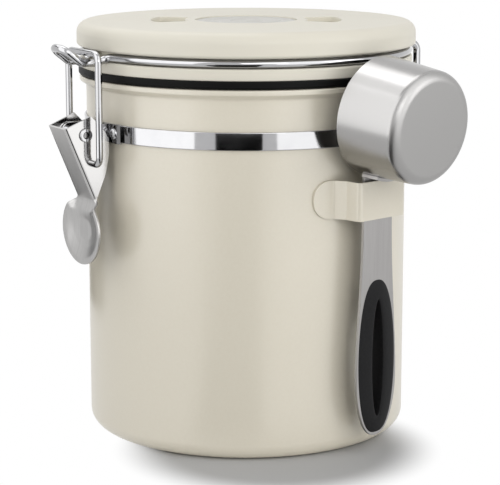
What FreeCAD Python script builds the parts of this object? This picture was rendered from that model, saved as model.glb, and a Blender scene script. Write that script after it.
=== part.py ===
import FreeCAD, Part
import math
import os

import Sketcher

V = FreeCAD.Vector

# Driving dimensions in millimetres and degrees. Azimuth 0 is the latch side (-Y) and grows towards +X.
SIZES = {
    # Steel body: a straight drum with a rounded foot and a flared lip.
    "body_radius": 62.5,
    "body_wall": 0.8,
    "body_height": 139.6,
    "base_round": 6.0,
    "base_inner_round": 5.0,
    "base_lift": 1.5,
    "foot_width": 18.0,
    "foot_slope": 2.0,
    "lip_reach": 2.5,
    "lip_height": 2.0,
    "lip_flare": 1.6,
    "lip_round": 0.7,
    # Clamp band round the body.
    "band_drop": 18.8,
    "band_width": 6.6,
    "band_thickness": 0.8,
    "fit_gap": 0.1,
    # Brackets that the band carries.
    "bracket_thickness": 1.0,
    "bracket_height": 7.2,
    "latch_plate_half": 12.8,
    "hinge_plate_half": 19.0,
    "lug_thickness": 1.0,
    "lug_height": 7.0,
    "lug_round": 3.2,
    "bracket_rivet_radius": 2.0,
    "bracket_rivet_crown": 0.9,
    "bracket_rivet_shank": 1.2,
    "bracket_rivet_inset": 4.0,
    # Over-centre latch.
    "pivot_reach": 12.1,
    "pivot_radius": 2.0,
    "pivot_bore": 1.1,
    "pivot_head": 2.5,
    "pivot_head_height": 0.7,
    "pin_gap": 0.2,
    "lever_width": 14.2,
    "lever_sheet": 1.0,
    "lever_lug_gap": 0.35,
    "lever_web_out": 8.4,
    "lever_web_rise": 2.6,
    "lever_crest_back": 2.4,
    "lever_crest_rise": 6.9,
    "lever_shoulder_back": 6.6,
    "lever_back_reach": 9.7,
    "lever_back_top": 1.4,
    "lever_back_low": 7.9,
    "lever_heel_back": 8.1,
    "lever_heel_drop": 15.4,
    "lever_toe_back": 3.1,
    "lever_toe_drop": 24.4,
    "lever_bend": 1.4,
    "hook_back": 3.2,
    "hook_drop": 10.9,
    "pad_out": 0.6,
    "pad_drop": 36.9,
    "pad_radius": 13.0,
    "pad_dish_radius": 6.6,
    "pad_dish_step": 2.6,
    "pad_dish_depth": 0.9,
    "pad_bulge": 2.6,
    "pad_crown": 0.5,
    "pad_shoulder": 1.4,
    "neck_above": 2.4,
    "neck_below": 4.6,
    "neck_width": 14.2,
    # Bail wire of the latch.
    "bail_wire": 2.6,
    "bail_half_width": 12.0,
    "bail_bend": 3.2,
    "bail_end": 5.4,
    "loop_gap": 0.8,
    # Lid: gasket, base, cover.
    "seal_gap": 0.3,
    "gasket_height": 2.9,
    "gasket_width": 6.8,
    "gasket_proud": 0.4,
    "gasket_round": 0.6,
    "ring_inset": 0.7,
    "ring_height": 4.3,
    "groove_height": 3.6,
    "groove_depth": 3.1,
    "plug_depth": 4.4,
    "plug_lip": 0.7,
    "plug_lip_height": 1.0,
    "lid_wall": 2.0,
    "recess_radius": 48.0,
    "plug_ring": 10.5,
    "recess_depth": 7.6,
    "spigot_height": 3.2,
    "cover_overhang": 0.6,
    "cover_lift": 0.4,
    "cover_height": 9.1,
    "cover_wall": 2.2,
    "cover_round": 4.5,
    "cover_edge_round": 0.8,
    "disc_radius": 19.4,
    "disc_recess": 0.9,
    "disc_thickness": 0.6,
    # Date rings under the two curved windows of the cover.
    "window_inner": 24.0,
    "window_outer": 37.0,
    "window_angle": 46.0,
    "dial_turn": 58.0,
    "ring_thickness": 1.6,
    "ring_gap": 0.4,
    "ring_split": 30.2,
    "ring_headroom": 0.8,
    "ring_bore": 22.8,
    "ring_reach": 38.2,
    "rail_width": 1.6,
    "dimple_radius": 0.7,
    "dimple_depth": 0.5,
    # One-way valve in the middle of the lid.
    "valve_radius": 12.0,
    "valve_flange": 17.0,
    "valve_flange_height": 2.5,
    "valve_rise": 1.6,
    "valve_rim_height": 1.0,
    "valve_rim_width": 2.0,
    "valve_disc_radius": 9.4,
    "valve_disc_thickness": 0.8,
    "valve_travel": 0.9,
    "valve_plate": 1.0,
    "vent_radius": 1.2,
    "vent_circle": 5.5,
    # Lid wire: ring in the groove, loop for the bail, two hinge legs.
    "lid_wire_size": 3.0,
    "wire_gap": 0.1,
    "wire_bend": 3.6,
    "loop_half": 5.0,
    "loop_leave": 13.0,
    "valley_drop": 1.6,
    "valley_half": 3.4,
    "tip_reach": 19.3,
    "tip_rise": 3.9,
    "leg_half": 13.0,
    "leg_leave": 21.0,
    "leg_end": 7.0,
    "hinge_reach": 11.0,
    # Scoop and the strap that holds it.
    "holder_turn": 101.4,
    "strap_sheet": 1.0,
    "strap_base": 91.0,
    "strap_gap": 12.2,
    "strap_height": 14.3,
    "strap_tab_half": 22.8,
    "strap_tab_round": 6.8,
    "slot_half": 11.4,
    "slot_depth": 10.0,
    "strap_foot_spread": 2.2,
    "strap_foot_rise": 4.0,
    "handle_reach": 7.4,
    "handle_thickness": 1.2,
    "handle_top_half": 7.6,
    "handle_half": 10.5,
    "handle_drop": 83.6,
    "handle_wide_rise": 30.0,
    "handle_end_half": 7.8,
    "handle_end_rise": 7.0,
    "weld_tab_length": 10.0,
    "weld_tab_gap": 0.3,
    "cup_rim_radius": 22.2,
    "cup_base_radius": 20.8,
    "cup_depth": 27.0,
    "cup_tilt": 6.0,
    "cup_reach": 0.7,
    "cup_wall": 0.8,
    "cup_round": 4.0,
    "grip_edge": 1.3,
    "grip_height": 58.8,
    "grip_lift": 1.2,
    "grip_proud": 1.0,
    "grip_back": 2.0,
    "grip_round": 0.7,
    "grip_slot_half": 3.1,
    "grip_slot_height": 45.0,
    "grip_core": 1.4,
}


class Size:
    """A length that keeps both its value and the expression that ties it to the sheet."""

    def __init__(self, value, text):
        self.value = float(value)
        self.text = text

    @staticmethod
    def of(other):
        return other if isinstance(other, Size) else Size(other, repr(float(other)))

    def __add__(self, other):
        other = Size.of(other)
        return Size(self.value + other.value, f"({self.text} + {other.text})")

    def __sub__(self, other):
        other = Size.of(other)
        return Size(self.value - other.value, f"({self.text} - {other.text})")

    def __mul__(self, other):
        other = Size.of(other)
        return Size(self.value * other.value, f"({self.text} * {other.text})")

    def __truediv__(self, other):
        other = Size.of(other)
        return Size(self.value / other.value, f"({self.text} / {other.text})")

    def __neg__(self):
        return Size(-self.value, f"(-1 * {self.text})")

    def __radd__(self, other):
        return Size.of(other) + self

    def __rsub__(self, other):
        return Size.of(other) - self

    def __rmul__(self, other):
        return Size.of(other) * self


doc = FreeCAD.newDocument("CoffeeCanister")
sheet = doc.addObject("Spreadsheet::Sheet", "Sizes")


class Sheet:
    """The driving dimensions by name."""


S = Sheet()
for row, (name, number) in enumerate(SIZES.items(), start=1):
    sheet.set(f"A{row}", name)
    sheet.set(f"B{row}", str(number))
    sheet.setAlias(f"B{row}", name)
    setattr(S, name, Size(number, f"Sizes.{name}"))
doc.recompute()

pieces = []


def new_body(label):
    body = doc.addObject("PartDesign::Body", label)
    body.Label = label
    pieces.append(body)
    return body


def new_shape(label, shape):
    piece = doc.addObject("Part::Feature", label)
    piece.Label = label
    piece.Shape = shape
    pieces.append(piece)
    return piece


def sketch_in(body, plane, name):
    sketch = body.newObject("Sketcher::SketchObject", name)
    support = next(feature for feature in body.Origin.OriginFeatures if feature.Role == plane)
    sketch.AttachmentSupport = [(support, "")]
    sketch.MapMode = "FlatFace"
    return sketch


def tie_point(sketch, geometry, end, x, y):
    """Ties one point of the sketch to the sheet by its two distances from the origin."""
    for kind, size in (("DistanceX", Size.of(x)), ("DistanceY", Size.of(y))):
        index = sketch.addConstraint(Sketcher.Constraint(kind, -1, 1, geometry, end, size.value))
        sketch.setExpression(f"Constraints[{index}]", size.text)


def outline_in(body, plane, name, corners):
    """Closed outline of straight runs through the given corners."""
    sketch = sketch_in(body, plane, name)
    corners = [(Size.of(x), Size.of(y)) for x, y in corners]
    count = len(corners)
    for index, (x, y) in enumerate(corners):
        next_x, next_y = corners[(index + 1) % count]
        sketch.addGeometry(Part.LineSegment(V(x.value, y.value, 0), V(next_x.value, next_y.value, 0)), False)
    for index in range(count):
        sketch.addConstraint(Sketcher.Constraint("Coincident", index, 2, (index + 1) % count, 1))
    for index, (x, y) in enumerate(corners):
        tie_point(sketch, index, 1, x, y)
    return sketch


def circle_in(body, plane, name, x, y, radius):
    sketch = sketch_in(body, plane, name)
    x, y, radius = Size.of(x), Size.of(y), Size.of(radius)
    sketch.addGeometry(Part.Circle(V(x.value, y.value, 0), V(0, 0, 1), radius.value), False)
    tie_point(sketch, 0, 3, x, y)
    index = sketch.addConstraint(Sketcher.Constraint("Radius", 0, radius.value))
    sketch.setExpression(f"Constraints[{index}]", radius.text)
    return sketch


def feature_in(body, kind, sketch, name, **expressions):
    feature = body.newObject(f"PartDesign::{kind}", name)
    feature.Profile = sketch
    for prop, size in expressions.items():
        feature.setExpression(prop, Size.of(size).text)
    return feature


def turn(body, corners, name="turned", plane="XZ_Plane", axis="V_Axis", angle=360.0, kind="Revolution"):
    """Revolves an outline of (radius, height) corners about the axis of the sketch."""
    sketch = outline_in(body, plane, f"{name}_outline", corners)
    feature = feature_in(body, kind, sketch, name, Angle=angle)
    feature.ReferenceAxis = (sketch, [axis])
    feature.Midplane = Size.of(angle).value < 360
    doc.recompute()
    return feature


def pad(body, corners, name, plane, length):
    sketch = outline_in(body, plane, f"{name}_outline", corners)
    feature = feature_in(body, "Pad", sketch, name, Length=length)
    feature.Midplane = True
    doc.recompute()
    return feature


def cut(body, sketch, name, length):
    """Pocket cut to both sides of its sketch; the volume has to fall."""
    before = body.Shape.Volume
    feature = feature_in(body, "Pocket", sketch, name, Length=length)
    feature.Midplane = True
    doc.recompute()
    if body.Shape.Volume >= before:
        raise RuntimeError(f"{name} cuts nothing")
    return feature


def pattern(body, feature, count, name):
    """Repeats a feature round the Z axis."""
    repeat = body.newObject("PartDesign::PolarPattern", name)
    repeat.Originals = [feature]
    axis = next(item for item in body.Origin.OriginFeatures if item.Role == "Z_Axis")
    repeat.Axis = (axis, [""])
    repeat.Angle = 360
    repeat.Occurrences = count
    body.Tip = repeat
    doc.recompute()
    return repeat


def round_edges(body, radius, chooser, name):
    """Fillets the edges of the body that the chooser accepts."""
    base = body.Tip
    names = [f"Edge{i}" for i, edge in enumerate(base.Shape.Edges, start=1) if chooser(edge)]
    if not names:
        raise RuntimeError(f"{name} finds no edge")
    fillet = body.newObject("PartDesign::Fillet", name)
    fillet.Base = (base, names)
    fillet.setExpression("Radius", Size.of(radius).text)
    doc.recompute()
    return fillet


def rim(radius, height):
    """Chooses the circle of this radius at this height about the Z axis."""
    radius, height = Size.of(radius).value, Size.of(height).value

    def matches(edge):
        curve = edge.Curve
        if not isinstance(curve, Part.Circle):
            return False
        return abs(curve.Radius - radius) < 1e-4 and abs(curve.Center.z - height) < 1e-4

    return matches


def along(direction, where=lambda point: True):
    """Chooses straight edges that run along a direction, at middles that the test accepts."""

    def matches(edge):
        if not isinstance(edge.Curve, Part.Line):
            return False
        run = edge.Vertexes[-1].Point - edge.Vertexes[0].Point
        return run.cross(direction).Length < 1e-4 * run.Length and where(edge.CenterOfMass)

    return matches


def place(piece, azimuth=0.0):
    """Turns a finished piece about the Z axis."""
    piece.Placement = FreeCAD.Placement(V(0, 0, 0), FreeCAD.Rotation(V(0, 0, 1), Size.of(azimuth).value))
    piece.setExpression("Placement.Rotation.Angle", Size.of(azimuth).text)


# Levels and radii that several pieces share.
band_middle = S.body_height - S.band_drop
band_inner = S.body_radius + S.fit_gap
band_outer = band_inner + S.band_thickness
plate_inner = band_outer + S.fit_gap
plate_outer = plate_inner + S.bracket_thickness
pivot_out = S.body_radius + S.pivot_reach
hinge_out = S.body_radius + S.hinge_reach
inner_radius = S.body_radius - S.body_wall

gasket_base = S.body_height + S.seal_gap
lid_seat = gasket_base + S.gasket_height
gasket_outer = S.body_radius + S.lip_reach + S.gasket_proud
gasket_inner = gasket_outer - S.gasket_width
ring_radius = gasket_outer - S.ring_inset
ring_top = lid_seat + S.ring_height
neck_radius = ring_radius - S.groove_depth
groove_top = ring_top + S.groove_height
wire_middle = ring_top + S.groove_height * 0.5
wire_ring = neck_radius + S.wire_gap + S.lid_wire_size * 0.5
cover_radius = gasket_outer + S.cover_overhang
cover_base = groove_top + S.cover_lift
cover_top = cover_base + S.cover_height
cover_inner_top = cover_top - S.cover_wall
cover_inner = cover_radius - S.cover_wall
plug_radius = gasket_inner - S.fit_gap
# The recess and the ring of the plug share a change of the room between them.
plug_recess = S.recess_radius + (plug_radius - S.recess_radius - S.plug_ring) * 0.5
plug_base = lid_seat - S.plug_depth
floor_under = plug_base + S.recess_depth
floor_top = floor_under + S.lid_wall
date_top = cover_inner_top - S.ring_headroom
date_base = date_top - S.ring_thickness
# The strap follows the band's lower edge by two thirds when that edge moves towards it or away.
strap_room = band_middle - S.band_width * 0.5 - S.strap_height - S.strap_gap
strap_shift = (strap_room - S.strap_base) * 2 / 3
strap_base = S.strap_base + strap_shift


# Canister body: one drawn drum, flared at the mouth, with a lifted middle under the foot.
body = new_body("canister_body")
floor_inside = S.base_lift + S.body_wall
neck_height = S.body_height - S.lip_height - S.lip_flare
lip_radius = S.body_radius + S.lip_reach
foot_inner = S.body_radius - S.foot_width
turn(body, [
    (0, S.base_lift),
    (foot_inner - S.foot_slope, S.base_lift),
    (foot_inner, 0),
    (S.body_radius, 0),
    (S.body_radius, neck_height),
    (lip_radius, neck_height + S.lip_flare),
    (lip_radius, S.body_height),
    (lip_radius - S.lip_height, S.body_height),
    (inner_radius, neck_height),
    (inner_radius, floor_inside),
    (0, floor_inside),
])
round_edges(body, S.base_round, rim(S.body_radius, 0), "foot_round")
round_edges(body, S.base_inner_round, rim(inner_radius, floor_inside), "inner_round")
round_edges(body, S.lip_round, rim(lip_radius, S.body_height), "lip_round")

# Clamp band.
body = new_body("clamp_band")
turn(body, [
    (band_inner, band_middle - S.band_width * 0.5),
    (band_outer, band_middle - S.band_width * 0.5),
    (band_outer, band_middle + S.band_width * 0.5),
    (band_inner, band_middle + S.band_width * 0.5),
])


def lug_bracket(label, half_plate, lug_outer, reach, hole_radius, azimuth):
    """Curved plate on the band with two lugs that stand out to a cross hole."""
    bracket = new_body(label)
    turn(bracket, [
        (plate_inner, band_middle - S.bracket_height * 0.5),
        (plate_outer, band_middle - S.bracket_height * 0.5),
        (plate_outer, band_middle + S.bracket_height * 0.5),
        (plate_inner, band_middle + S.bracket_height * 0.5),
    ], "plate", plane="YZ_Plane", angle=360 * half_plate / (math.pi * plate_inner))
    end = reach + S.lug_height * 0.5
    root = plate_inner + S.bracket_thickness * 0.5
    pad(bracket, [
        (root, band_middle - S.lug_height * 0.5),
        (end, band_middle - S.lug_height * 0.5),
        (end, band_middle + S.lug_height * 0.5),
        (root, band_middle + S.lug_height * 0.5),
    ], "lugs", "YZ_Plane", 2 * lug_outer)
    gap = outline_in(bracket, "YZ_Plane", "gap_outline", [
        (plate_outer, band_middle - S.bracket_height),
        (end + S.lug_height, band_middle - S.bracket_height),
        (end + S.lug_height, band_middle + S.bracket_height),
        (plate_outer, band_middle + S.bracket_height),
    ])
    cut(bracket, gap, "gap", 2 * (lug_outer - S.lug_thickness))
    far = end.value - 0.01
    round_edges(bracket, S.lug_round, along(V(1, 0, 0), lambda point: point.y > far), "lug_ends")
    hole = circle_in(bracket, "YZ_Plane", "pin_hole_outline", reach, band_middle, hole_radius)
    cut(bracket, hole, "pin_hole", 4 * lug_outer)
    place(bracket, azimuth - 180.0)


def bracket_rivets(label, half_plate, azimuth):
    """Two domed rivets through the plate and the band."""
    solids = []
    for side in (-1, 1):
        inset = half_plate.value - S.bracket_rivet_inset.value
        angle = azimuth + side * math.degrees(inset / plate_inner.value)
        head = S.bracket_rivet_radius.value
        shank = S.bracket_rivet_shank.value
        crown = S.bracket_rivet_crown.value
        depth = plate_outer.value - band_inner.value - S.fit_gap.value
        top = V(0, 0, crown)
        shoulder = V(head * 0.75, 0, crown * 0.72)
        edge = V(head, 0, 0)
        neck = V(shank, 0, 0)
        tail = V(shank, 0, -depth)
        middle = V(0, 0, -depth)
        dome = Part.Arc(top, shoulder, edge).toShape()
        wire = Part.Wire([dome] + Part.makePolygon([edge, neck, tail, middle, top]).Edges)
        rivet = Part.Face(wire).revolve(V(0, 0, 0), V(0, 0, 1), 360)
        rivet.rotate(V(0, 0, 0), V(1, 0, 0), 90)
        rivet.translate(V(0, -plate_outer.value, band_middle.value))
        rivet.rotate(V(0, 0, 0), V(0, 0, 1), angle)
        solids.append(rivet)
    return new_shape(label, Part.makeCompound(solids))


# Latch bracket, its rivets and the hollow pivot rivet.
flange_inner = S.lever_width * 0.5 - S.lever_sheet
latch_lug = flange_inner - S.lever_lug_gap
lug_bracket("latch_bracket", S.latch_plate_half, latch_lug, pivot_out, S.pivot_radius + S.fit_gap, 0.0)
bracket_rivets("latch_bracket_rivets", S.latch_plate_half, 0.0)

body = new_body("lever_pivot_rivet")
head_start = S.lever_width * 0.5 + S.pin_gap
head_end = head_start + S.pivot_head_height
turn(body, [
    (-head_end, S.pivot_bore),
    (head_end, S.pivot_bore),
    (head_end, S.pivot_head),
    (head_start, S.pivot_head),
    (head_start, S.pivot_radius),
    (-head_start, S.pivot_radius),
    (-head_start, S.pivot_head),
    (-head_end, S.pivot_head),
], axis="H_Axis")
body.Placement.Base = V(0, -pivot_out.value, band_middle.value)
body.setExpression("Placement.Base.y", (-pivot_out).text)
body.setExpression("Placement.Base.z", band_middle.text)


def diagonal(run, rise):
    """Length of the slope over a run and a rise."""
    return Size(math.hypot(run.value, rise.value), f"sqrt({run.text}^2 + {rise.text}^2)")


# Latch lever: a folded channel whose web ends in a domed round thumb pad with a dish.
body = new_body("latch_lever")
lever_slope = (S.lever_web_out + S.lever_toe_back) / (S.lever_web_rise + S.lever_toe_drop)
web_run = diagonal(S.lever_web_out + S.lever_toe_back, S.lever_web_rise + S.lever_toe_drop)
web_skin = S.lever_sheet * web_run / (S.lever_web_rise + S.lever_toe_drop)


def web_at(level):
    """Distance of the web's outer face from the body's axis, at a level measured from the pivot."""
    return pivot_out - S.lever_toe_back + (level + S.lever_toe_drop) * lever_slope


pad(body, [
    (pivot_out + S.lever_web_out, band_middle + S.lever_web_rise),
    (pivot_out - S.lever_crest_back, band_middle + S.lever_crest_rise),
    (pivot_out - S.lever_shoulder_back, band_middle + S.lever_web_rise),
    (pivot_out - S.lever_back_reach, band_middle - S.lever_back_top),
    (pivot_out - S.lever_back_reach, band_middle - S.lever_back_low),
    (pivot_out - S.lever_heel_back, band_middle - S.lever_heel_drop),
    (pivot_out - S.lever_toe_back - web_skin, band_middle - S.lever_toe_drop),
    (pivot_out - S.lever_toe_back, band_middle - S.lever_toe_drop),
], "channel", "YZ_Plane", S.lever_width)
back_radius = 4 * S.lever_sheet
back_line = (pivot_out - S.lever_back_reach).value
round_edges(body, back_radius, along(V(1, 0, 0), lambda point: abs(point.y - back_line) < 0.01), "back_rounds")
round_edges(body, S.lever_bend, along(V(0, lever_slope.value, 1)), "folds")
channel_top = S.lever_crest_rise + S.lever_sheet
channel_low = 2 * S.lever_sheet - S.lever_toe_drop
channel_back = pivot_out - 2 * S.lever_back_reach
hollow = outline_in(body, "YZ_Plane", "hollow_outline", [
    (web_at(channel_top) - web_skin, band_middle + channel_top),
    (channel_back, band_middle + channel_top),
    (channel_back, band_middle + channel_low),
    (web_at(channel_low) - web_skin, band_middle + channel_low),
])
cut(body, hollow, "hollow", 2 * flange_inner)
neck_top = S.neck_above - S.lever_toe_drop
neck_low = -S.lever_toe_drop - S.neck_below
pad_face = pivot_out + S.pad_out
pad(body, [
    (web_at(neck_top), band_middle + neck_top),
    (pad_face - S.pad_crown, band_middle + neck_low),
    (pad_face - S.pad_crown - S.lever_sheet, band_middle + neck_low),
    (web_at(neck_top) - web_skin, band_middle + neck_top),
], "neck", "YZ_Plane", S.neck_width)
pad_middle = band_middle - S.pad_drop
dish_flat = S.pad_dish_radius - S.pad_dish_step
dome_run = S.pad_radius - S.pad_dish_radius
dome = [
    (0, S.pad_dish_depth),
    (dish_flat, S.pad_dish_depth),
    (S.pad_dish_radius, 0),
    (S.pad_dish_radius + dome_run * 0.4, S.pad_crown),
    (S.pad_dish_radius + dome_run * 0.75, S.pad_shoulder),
    (S.pad_radius, S.pad_bulge),
]
sketch = outline_in(body, "YZ_Plane", "thumb_pad_outline", [
    (pad_face - drop, pad_middle + reach) for reach, drop in dome
] + [
    (pad_face - drop - S.lever_sheet, pad_middle + reach) for reach, drop in reversed(dome)
])
axis_line = sketch.addGeometry(Part.LineSegment(V(0, pad_middle.value, 0), V(1, pad_middle.value, 0)), True)
tie_point(sketch, axis_line, 1, 0, pad_middle)
tie_point(sketch, axis_line, 2, 1, pad_middle)
thumb_pad = feature_in(body, "Revolution", sketch, "thumb_pad", Angle=360)
thumb_pad.ReferenceAxis = (sketch, ["Axis0"])
doc.recompute()
hook_out = pivot_out - S.hook_back
hook_level = band_middle - S.hook_drop
for name, reach, level, radius in (
    ("pivot_hole", pivot_out, band_middle, S.pivot_radius + S.pin_gap),
    ("hook_hole", hook_out, hook_level, S.bail_wire * 0.5 + S.pin_gap),
):
    cut(body, circle_in(body, "YZ_Plane", f"{name}_outline", reach, level, radius), name, 2 * S.lever_width)
place(body, -180.0)


def rounded_run(points, radius):
    """Straight runs through the points, joined by tangent arcs of one radius."""
    edges = []
    start = points[0]
    for before, corner, after in zip(points, points[1:], points[2:]):
        back = (before - corner).normalize()
        ahead = (after - corner).normalize()
        half = back.getAngle(ahead) / 2
        setback = radius / math.tan(half)
        middle = corner + (back + ahead).normalize() * (radius / math.sin(half) - radius)
        leave = corner + back * setback
        arrive = corner + ahead * setback
        if (leave - start).Length > 1e-6:
            edges.append(Part.LineSegment(start, leave).toShape())
        edges.append(Part.Arc(leave, middle, arrive).toShape())
        start = arrive
    edges.append(Part.LineSegment(start, points[-1]).toShape())
    return edges


def wire_solid(edges, diameter):
    """Round wire swept along a path; its volume has to be its section times its length."""
    path = Part.Wire(edges)
    begin = edges[0].valueAt(edges[0].FirstParameter)
    heading = edges[0].tangentAt(edges[0].FirstParameter)
    section = Part.Wire(Part.Circle(begin, heading, diameter / 2).toShape())
    solid = path.makePipeShell([section], True, False)
    expected = math.pi * diameter ** 2 / 4 * path.Length
    print(f"wire of {path.Length:.1f} mm, volume {solid.Volume:.1f}, section times length {expected:.1f}")
    return solid


# Bail: a wire bow hooked into the lever, whose crossbar lies over the loop of the lid wire.
valley_level = wire_middle - S.valley_drop
bar_level = valley_level + S.lid_wire_size * 0.5 + S.bail_wire * 0.5 + S.loop_gap
bow = []
for side, order in ((1, 1), (-1, -1)):
    x_end, x_leg = side * S.bail_end.value, side * S.bail_half_width.value
    corners = [V(x_end, -hook_out.value, hook_level.value), V(x_leg, -hook_out.value, hook_level.value),
               V(x_leg, -hook_out.value, bar_level.value)]
    bow += corners[::order]
new_shape("latch_bail", wire_solid(rounded_run(bow, S.bail_bend.value), S.bail_wire.value))

# Hinge bracket at the back; the lid wire's ends turn in its lugs.
hinge_lug = S.leg_half - S.wire_bend - S.lever_lug_gap
lug_bracket("hinge_bracket", S.hinge_plate_half, hinge_lug, hinge_out,
            S.lid_wire_size * 0.5 + S.pin_gap, 180.0)
bracket_rivets("hinge_bracket_rivets", S.hinge_plate_half, 180.0)

# Gasket and lid base.
body = new_body("lid_gasket")
turn(body, [
    (gasket_inner, gasket_base),
    (gasket_outer, gasket_base),
    (gasket_outer, lid_seat),
    (gasket_inner, lid_seat),
])
round_edges(body, S.gasket_round, rim(gasket_outer, gasket_base), "outer_round")

body = new_body("lid_base")
spigot_radius = cover_inner - S.fit_gap
shell_radius = neck_radius - S.lid_wall
plug_wall = plug_radius - S.lid_wall
step_radius = plug_recess + S.lid_wall
spigot_top = groove_top + S.spigot_height
turn(body, [
    (plug_recess, floor_under),
    (plug_recess, plug_base),
    (plug_radius + S.plug_lip, plug_base),
    (plug_radius + S.plug_lip, plug_base + S.plug_lip_height),
    (plug_radius, plug_base + S.plug_lip_height),
    (plug_radius, lid_seat),
    (ring_radius, lid_seat),
    (ring_radius, ring_top),
    (neck_radius, ring_top),
    (neck_radius, groove_top),
    (spigot_radius, groove_top),
    (spigot_radius, spigot_top),
    (shell_radius, spigot_top),
    (shell_radius, lid_seat + S.lid_wall),
    (plug_wall, lid_seat + S.lid_wall),
    (plug_wall, plug_base + S.lid_wall),
    (step_radius, plug_base + S.lid_wall),
    (step_radius, floor_under),
])
round_edges(body, S.gasket_round, rim(ring_radius, ring_top), "ring_round")

# Lid floor: the plate on the plug's inner wall that carries the valve and the date rings.
body = new_body("lid_floor")
rail_radii = [(S.ring_bore + S.ring_split) * 0.5, (S.ring_split + S.ring_reach) * 0.5]
rail_top = date_base - S.fit_gap
guide_radius = S.ring_bore - S.ring_gap
rails = []
for radius in reversed(rail_radii):
    rails += [(radius + S.rail_width * 0.5, floor_top), (radius + S.rail_width * 0.5, rail_top),
              (radius - S.rail_width * 0.5, rail_top), (radius - S.rail_width * 0.5, floor_top)]
turn(body, [
    (S.valve_radius + S.fit_gap, floor_under),
    (step_radius, floor_under),
    (step_radius, floor_top),
] + rails + [
    (guide_radius, floor_top),
    (guide_radius, date_top),
    (guide_radius - S.rail_width, date_top),
    (guide_radius - S.rail_width, floor_top),
    (S.valve_radius + S.fit_gap, floor_top),
])

# Lid cover with its round recess and the two curved date windows.
body = new_body("lid_cover")
recess_floor = cover_top - S.disc_recess
recess_radius = S.disc_radius + S.ring_gap
turn(body, [
    (0, cover_inner_top),
    (cover_inner, cover_inner_top),
    (cover_inner, cover_base),
    (cover_radius, cover_base),
    (cover_radius, cover_top),
    (recess_radius, cover_top),
    (recess_radius, recess_floor),
    (0, recess_floor),
])
round_edges(body, S.cover_round, rim(cover_radius, cover_top), "top_round")
round_edges(body, S.cover_edge_round, rim(cover_radius, cover_base), "edge_round")
window = turn(body, [
    (S.window_inner, cover_inner_top - S.cover_wall),
    (S.window_outer, cover_inner_top - S.cover_wall),
    (S.window_outer, cover_top + S.cover_wall),
    (S.window_inner, cover_top + S.cover_wall),
], "window", angle=S.window_angle, kind="Groove")
pattern(body, window, 2, "windows")
place(body, S.dial_turn)

body = new_body("lid_centre_disc")
turn(body, [
    (0, recess_floor),
    (S.disc_radius, recess_floor),
    (S.disc_radius, recess_floor + S.disc_thickness),
    (0, recess_floor + S.disc_thickness),
])


def date_ring(label, inner, outer, count):
    """Flat ring with a row of finger dimples near its inner edge."""
    ring = new_body(label)
    turn(ring, [(inner, date_base), (outer, date_base), (outer, date_top), (inner, date_top)])
    spot = circle_in(ring, "XY_Plane", "dimple_outline", inner + 2 * S.dimple_radius, 0, S.dimple_radius)
    spot.setExpression("AttachmentOffset.Base.z", date_top.text)
    doc.recompute()
    dimple = cut(ring, spot, "dimple", 2 * S.dimple_depth)
    pattern(ring, dimple, count, "dimples")
    place(ring, S.dial_turn)


date_ring("month_ring", S.ring_bore, S.ring_split - S.ring_gap, 12)
date_ring("day_ring", S.ring_split, S.ring_reach, 31)

# One-way valve: seat with vents, flexible disc, cap.
seat_face = floor_top + S.valve_rise
rim_top = seat_face + S.valve_rim_height
body = new_body("valve_seat")
rim_inner = S.valve_radius - S.valve_rim_width
turn(body, [
    (0, floor_under - S.valve_flange_height),
    (S.valve_flange, floor_under - S.valve_flange_height),
    (S.valve_flange, floor_under),
    (S.valve_radius, floor_under),
    (S.valve_radius, rim_top),
    (rim_inner, rim_top),
    (rim_inner, seat_face),
    (0, seat_face),
])


def vents(piece, circle, level, depth, count):
    """Ring of round vents through a plate at this level."""
    hole = circle_in(piece, "XY_Plane", "vent_outline", circle, 0, S.vent_radius)
    hole.setExpression("AttachmentOffset.Base.z", level.text)
    doc.recompute()
    vent = cut(piece, hole, "vent", 2 * depth)
    pattern(piece, vent, count, "vent_ring")


vents(body, S.vent_circle, seat_face, S.valve_flange_height + S.lid_wall + 2 * S.valve_rise, 6)

body = new_body("valve_disc")
disc_base = seat_face + S.fit_gap
turn(body, [
    (0, disc_base),
    (S.valve_disc_radius, disc_base),
    (S.valve_disc_radius, disc_base + S.valve_disc_thickness),
    (0, disc_base + S.valve_disc_thickness),
])

body = new_body("valve_cap")
cap_under = disc_base + S.valve_disc_thickness + S.valve_travel + S.fit_gap
cap_top = cap_under + S.valve_plate
turn(body, [
    (0, cap_under),
    (rim_inner, cap_under),
    (rim_inner, rim_top),
    (S.valve_radius, rim_top),
    (S.valve_radius, cap_top),
    (0, cap_top),
])
vents(body, S.vent_circle, cap_top, S.valve_plate + S.fit_gap, 4)

# Lid wire: two legs that turn in the hinge bracket, a ring in the lid's groove and a loop under the bail.
level = wire_middle.value
radius = wire_ring.value
back_angle = math.radians(S.leg_leave.value)
front_angle = math.radians(S.loop_leave.value)
leg_x = S.leg_half.value
loop_x = S.loop_half.value
back_run = (radius * math.sin(back_angle) - leg_x) / math.cos(back_angle)
front_run = (radius * math.sin(front_angle) - loop_x) / math.cos(front_angle)
back_y = radius * math.cos(back_angle) + back_run * math.sin(back_angle)
front_y = -radius * math.cos(front_angle) - front_run * math.sin(front_angle)
valley_z = valley_level.value
bar_y = -hook_out.value
flat = S.valley_half.value
tip_y = -(S.body_radius + S.tip_reach).value
tip_z = level + S.tip_rise.value
bend = S.wire_bend.value


def mirrored(points):
    return [V(-point.x, point.y, point.z) for point in reversed(points)]


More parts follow.
